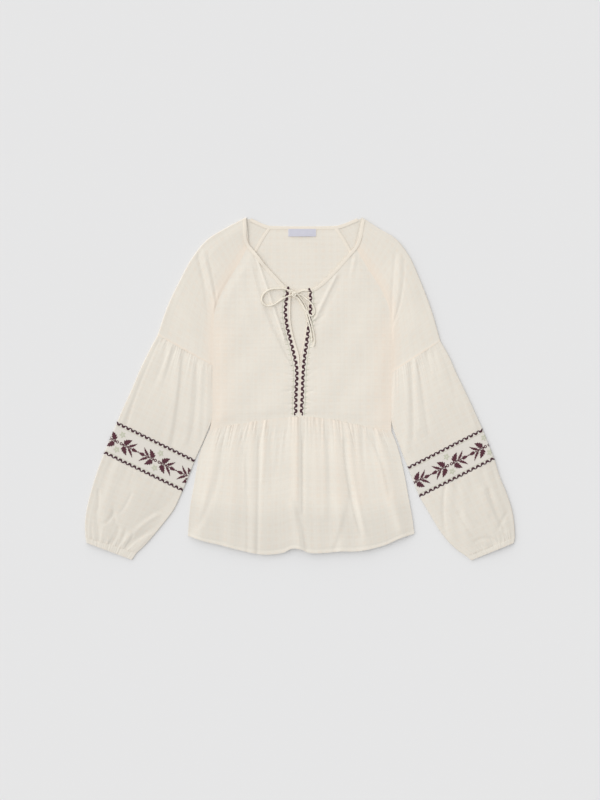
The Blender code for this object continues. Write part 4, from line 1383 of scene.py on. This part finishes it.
def make_tie(name, route):
    """A thin tube along a route, each point on the highest thing near it, with a small knot at its end."""
    plan = even(route, int(length_of(np.array(route)) / CORD_RINGS))
    floor = carried(survey.highest(plan, CORD_DIAMETER / 2), 3)
    path = np.c_[plan, floor + CORD_DIAMETER / 2 - CORD_SINK]
    taper = np.ones(len(path))
    taper[[0, -1]] = END_TAPER
    made = joined("tie_" + name, [rope(path, CORD_DIAMETER * taper)], ROULEAU)
    along = (path[-1] - path[-4]) / np.linalg.norm(path[-1] - path[-4])
    half, width = END_KNOT_SIZE
    share = np.linspace(-1, 1, 9)
    bead = path[-3] + END_KNOT_LIFT + along * share[:, None] * half
    knot = joined("tie_" + name + "_end", [rope(bead, width * np.sqrt(1 - share**2 * 0.94))], ROULEAU)
    print("the", name, "tie is", round(length_of(path)), "mm long")
    return made, knot, path


def make_knot():
    """The bow's knot: a cord on a trefoil, (sin t + 2 sin 2t, cos t - 2 cos 2t, -sin 3t), pressed flat."""
    t = np.linspace(0, 2 * np.pi, 73)[:-1]
    trefoil = np.stack([np.sin(t) + 2 * np.sin(2 * t), np.cos(t) - 2 * np.cos(2 * t), -np.sin(3 * t)], 1)
    size = KNOT_SIZE - (KNOT_CORD / 2, KNOT_CORD / 2, 0)
    path = trefoil / (3, 3, 1) * size + KNOT_PLACE
    return joined("tie_knot_wraps", [rope(np.concatenate([path, path[:2]]), KNOT_CORD)], ROULEAU)


for name, route in TIE.items():
    made, end_knot, path = make_tie(name, route)
    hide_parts(*TIE_NODES[name])
    survey.add_strip(path[:, :2], sideways(path[:, :2]), CORD_REACH, path[:, 2] + 1)
knot = make_knot()
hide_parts("tie_knot")

# %% [markdown]
# The embroidery is burgundy satin stitch. Along each sleeve band runs a garland: two open rings, a spray of
# serrated leaves, a dot, and the spray turned about, again and again round the sleeve. Two borders of
# scallops in a darker thread close it in, and pale flowers stand above and below the rings.

# %% Band embroidery
REPEAT = 79.0
BAND_START = {"left": 63.9, "right": 73.2}
BAND_AXIS = 1.6
LEAF_STEPS = 29
TEETH = 4
TOOTH_DEPTH = 0.45
STEM_STEPS = 7
RING_STEPS = 17
LINE_STEPS = 300
SEAM_STITCH = (0.8, 0.3)
NEARLY_ROUND = 0.9995
UNDER_LIFT = 0.55
LEAF_COLUMNS = ("base_s", "base_d", "tip_s", "tip_d", "width", "bow")
LEAVES = (
    (9.6, -2.6, 20.7, -14.4, 13.2, -0.4),
    (9.6, 3.2, 20.5, 15.4, 13.2, 0.4),
    (19.8, -2.2, 32.2, -13.2, 6.4, 0.9),
    (20.0, 2.4, 32.6, 14.8, 6.4, -0.9),
    (26.8, 0.3, 38.6, 0.6, 8.6, 0),
)
STEMS = (
    ((6.2, 0), (28.5, 0.3)),
    ((7.0, 0), (10.8, -3.4)),
    ((7.0, 0), (10.8, 4.0)),
    ((16.5, 0), (21.0, -3.2)),
    ((16.5, 0), (21.0, 3.4)),
)
RING_PLACES = (-3.9, 3.9)
RING_RADIUS = 2.1
STEM_WIDTH = 1.7
STEM_LIFT = THREAD_LIFT * 0.8
PETAL_LIFT = THREAD_LIFT * 0.6
DOT_SIZE = 2.4
BORDER_PITCH = 9.8
BORDER_SWING = 1.5
BORDER_WIDTH = 3.2
BORDER_SWELL = 1.3
BORDER_LINE = 4.6
BORDER_INSET = 3.2
SEAM_INSET = 7.6
FLOWER_AWAY = (-16.2, 13.4)
PETAL_RUN = (1.2, 6.6)
PETAL_SIZE = (5.4, 0.4)
PETAL_TURN = 0.3


def leaf_paths(rows):
    """Serrated leaves: a bowed midrib for each row, broad near its base and pointed, with teeth to the tip.

    Width = t to the power 0.35, times 1 - t, times a saw of the teeth.
    """
    base, tip = (columns(rows, LEAF_COLUMNS, end + "_s", end + "_d")[:, None] for end in ("base", "tip"))
    width, bow = (columns(rows, LEAF_COLUMNS, name) for name in ("width", "bow"))
    t = np.linspace(0, 1, LEAF_STEPS)
    run = tip - base
    length = np.linalg.norm(run, axis=2, keepdims=True)
    side = np.concatenate([-run[..., 1:], run[..., :1]], 2) / length
    paths = base + run * t[:, None] + side * (bow * 4 * t * (1 - t))[..., None]
    teeth = 1 - TOOTH_DEPTH * (1 - (t * TEETH) % 1)
    swell = (t + 0.02) ** 0.35 * (1.02 - t) / 0.47
    return paths, width * np.maximum(swell * teeth, 0.1)


def turned_about(rows):
    """Rows of a motif mirrored along the garland about its start."""
    return rows * (-1, 1, -1, 1, 1, -1)


def repeats(band, start):
    """Where each repeat of the garland begins round the sleeve."""
    return start + REPEAT * np.arange(-1, round(band.around[-1] / REPEAT) - 1)


class Wrapped:
    """A band whose distance round starts again past its end, with flatter stitches on its under side."""

    def __init__(self, band):
        self.band = band

    def place(self, round_mm, down_mm, lift):
        """Points of the band, with the lift held small below the fold."""
        round_mm = np.mod(round_mm, self.band.around[-1])
        share = np.where(round_mm > self.band.top_end, UNDER_LIFT, 1)
        return self.band.place(round_mm, down_mm, share * lift)


def garland(band, start, axis):
    """All burgundy stitches of one band, repeat by repeat round the sleeve."""
    leaves, stems = np.array(LEAVES, float), np.array(STEMS, float)
    spray = np.concatenate([leaves, turned_about(leaves)])
    stems = np.concatenate([stems, stems * (-1, 1)])
    places = repeats(band, start)
    rows = np.concatenate([spray + (place, axis, place, axis, 0, 0) for place in places])
    lines = np.concatenate([stems + (place, axis) for place in places])
    ring = circle(np.linspace(0, 2 * np.pi, RING_STEPS)) * RING_RADIUS
    rings = np.array([ring + (place + middle, axis) for place in places for middle in RING_PLACES])
    t = np.linspace(0, 1, STEM_STEPS)[:, None]
    lines = lines[:, 0, None] * (1 - t) + lines[:, 1, None] * t
    share = np.linspace(-0.96, 0.96, STEM_STEPS)
    middles = np.array([(place + REPEAT / 2, axis) for place in places])
    dots = middles[:, None] + share[:, None] * (DOT_SIZE / 2, 0)
    ground = Wrapped(band)
    return [
        stitches(ground, *leaf_paths(rows), THREAD_LIFT),
        stitches(ground, lines, STEM_WIDTH, STEM_LIFT),
        stitches(ground, rings, STEM_WIDTH, STEM_LIFT),
        stitches(ground, dots, DOT_SIZE * np.sqrt(1 - share**2), THREAD_LIFT),
    ]


def border(band, down, way):
    """Scallops round the band: down = middle + swing times a wave, thickest where it bulges inward."""
    whole = band.around[-1]
    count = round(whole / BORDER_PITCH)
    s = np.linspace(0, whole * NEARLY_ROUND, count * 14 + 1)
    wave = meander(2 * np.pi * count * s / whole)
    path = np.stack([s, down + way * BORDER_SWING * wave], 1)
    return stitches(Wrapped(band), [path], [BORDER_WIDTH + BORDER_SWELL * wave], THREAD_LIFT)


def lines_round(band, stitch, *downs):
    """Fine rows of stitches all round the band, each at its own distance down."""
    s = np.linspace(0, band.around[-1] * NEARLY_ROUND, LINE_STEPS)
    return stitches(Wrapped(band), [np.stack([s, np.full(LINE_STEPS, down)], 1) for down in downs], *stitch)


def flowers(band, start, axis):
    """Pale five-petalled flowers above and below each pair of rings, and the borders' fine lines."""
    petals = circle(np.linspace(0, 2 * np.pi, 6)[:-1] + PETAL_TURN)
    middles = [(place, axis + away) for place in repeats(band, start) for away in FLOWER_AWAY]
    ends = [np.array(middles)[:, None] + petals * away for away in PETAL_RUN]
    ends = np.concatenate(ends, 2).reshape(-1, 4)
    leaves = leaf_paths(np.c_[ends, np.tile(PETAL_SIZE, (len(ends), 1))])
    down = BORDER_INSET + BORDER_LINE
    lines = lines_round(band, FINE_STITCH, down, band.run - down)
    return [stitches(Wrapped(band), *leaves, PETAL_LIFT), lines]


embroidery = {}
for side, band in bands.items():
    start, axis = BAND_START[side], band.run / 2 + BAND_AXIS
    pieces = {
        "garland": (garland(band, start, axis), BURGUNDY),
        "borders": ([border(band, BORDER_INSET, 1), border(band, band.run - BORDER_INSET, -1)], AUBERGINE),
        "flowers": (flowers(band, start, axis), SAGE),
        "seams": ([lines_round(band, SEAM_STITCH, SEAM_INSET)], STITCH),
    }
    for name, (parts, thread) in pieces.items():
        embroidery[name + "_" + side] = joined(name + "_" + side, parts, thread)
print("band embroidery:", list(embroidery))

# %% [markdown]
# Each piece of cloth hides the solid that it stands for. A sleeve piece is a tube, so its cut is counted all
# round.

# %% Hiding the solids under the cloth
LIES_ON = {"front_left": "back_bodice", "front_right": "back_bodice", "peplum_front": "peplum_back"}
BODICE_EASE = 0.002
PEPLUM_EASE = 1.1
SLEEVE_EASE = 1.15
LABEL_EASE = 1.05
BINDING_CUT = 0.01


def cloth_area(made):
    """Half of a closed shell's surface, in square metres."""
    areas = np.empty(len(made.data.polygons), np.float32)
    made.data.polygons.foreach_get("area", areas)
    return areas.astype(float).sum() / 2


def declare(made, node, finish, width, length, held="laid", extras=()):
    """Hides the solid of one piece of cloth, and works out the piece's area and what it lies on."""
    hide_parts(node)
    area = round(min(cloth_area(made), width * length), 5)
    rests = [LIES_ON[node] + "_cloth"] if node in LIES_ON else []


def spread(made):
    """A piece's width and length in plan, in metres."""
    points = np.empty(len(made.data.vertices) * 3, np.float32)
    made.data.vertices.foreach_get("co", points)
    return np.ptp(points.reshape(-1, 3)[:, :2].astype(float), axis=0)


for made in bodice:
    declare(made, made.name.removesuffix("_cloth"), "cotton_gauze", *(spread(made) + BODICE_EASE))
hem = length_of(even(HEM, 90)) * MM
for made in peplum:
    size = (hem * PEPLUM_EASE, PEPLUM_DEPTH * PEPLUM_EASE * MM)
    declare(made, made.name.removesuffix("_cloth"), "cotton_gauze", *size)
for name, made in sleeves.items():
    around, run = sleeve_cuts[name][0][-1] * MM, sleeve_cuts[name][1] * MM
    trims = [trim for key, trim in embroidery.items() if key.endswith(name.removeprefix("band"))]
    finish = "band_cloth" if trims else "cotton_gauze"
    declare(made, name, finish, around * SLEEVE_EASE, run * SLEEVE_EASE, extras=trims)
for name, made in bindings.items():
    declare(made, name, "bias_trim", binding_lengths[name], BINDING_CUT, "folded")
declare(label, "label", "label_weave", LABEL_SIZE[0] * MM, LABEL_SIZE[1] * LABEL_EASE * MM)

# %% [markdown]
# The blouse lies on a plain pale table.

# %% Floor and the end
FLOOR_HALF = 3.0


def make_floor():
    """The table: a plain square."""
    half = FLOOR_HALF
    mesh = bpy.data.meshes.new("table")
    corners = [(-half, -half, 0), (half, -half, 0), (half, half, 0), (-half, half, 0)]
    mesh.from_pydata(corners, [], [(0, 1, 2, 3)])
    floor = bpy.data.objects.new("table", mesh)
    paint = Paint("table_paint", 0.95)
    paint.shader.inputs["Base Color"].default_value = (FLOOR_GREY, FLOOR_GREY, FLOOR_GREY, 1)
    mesh.materials.append(paint.material)
    bpy.context.scene.collection.objects.link(floor)
    print("the table is", 2 * half, "m wide")


make_floor()
bpy.context.view_layer.update()
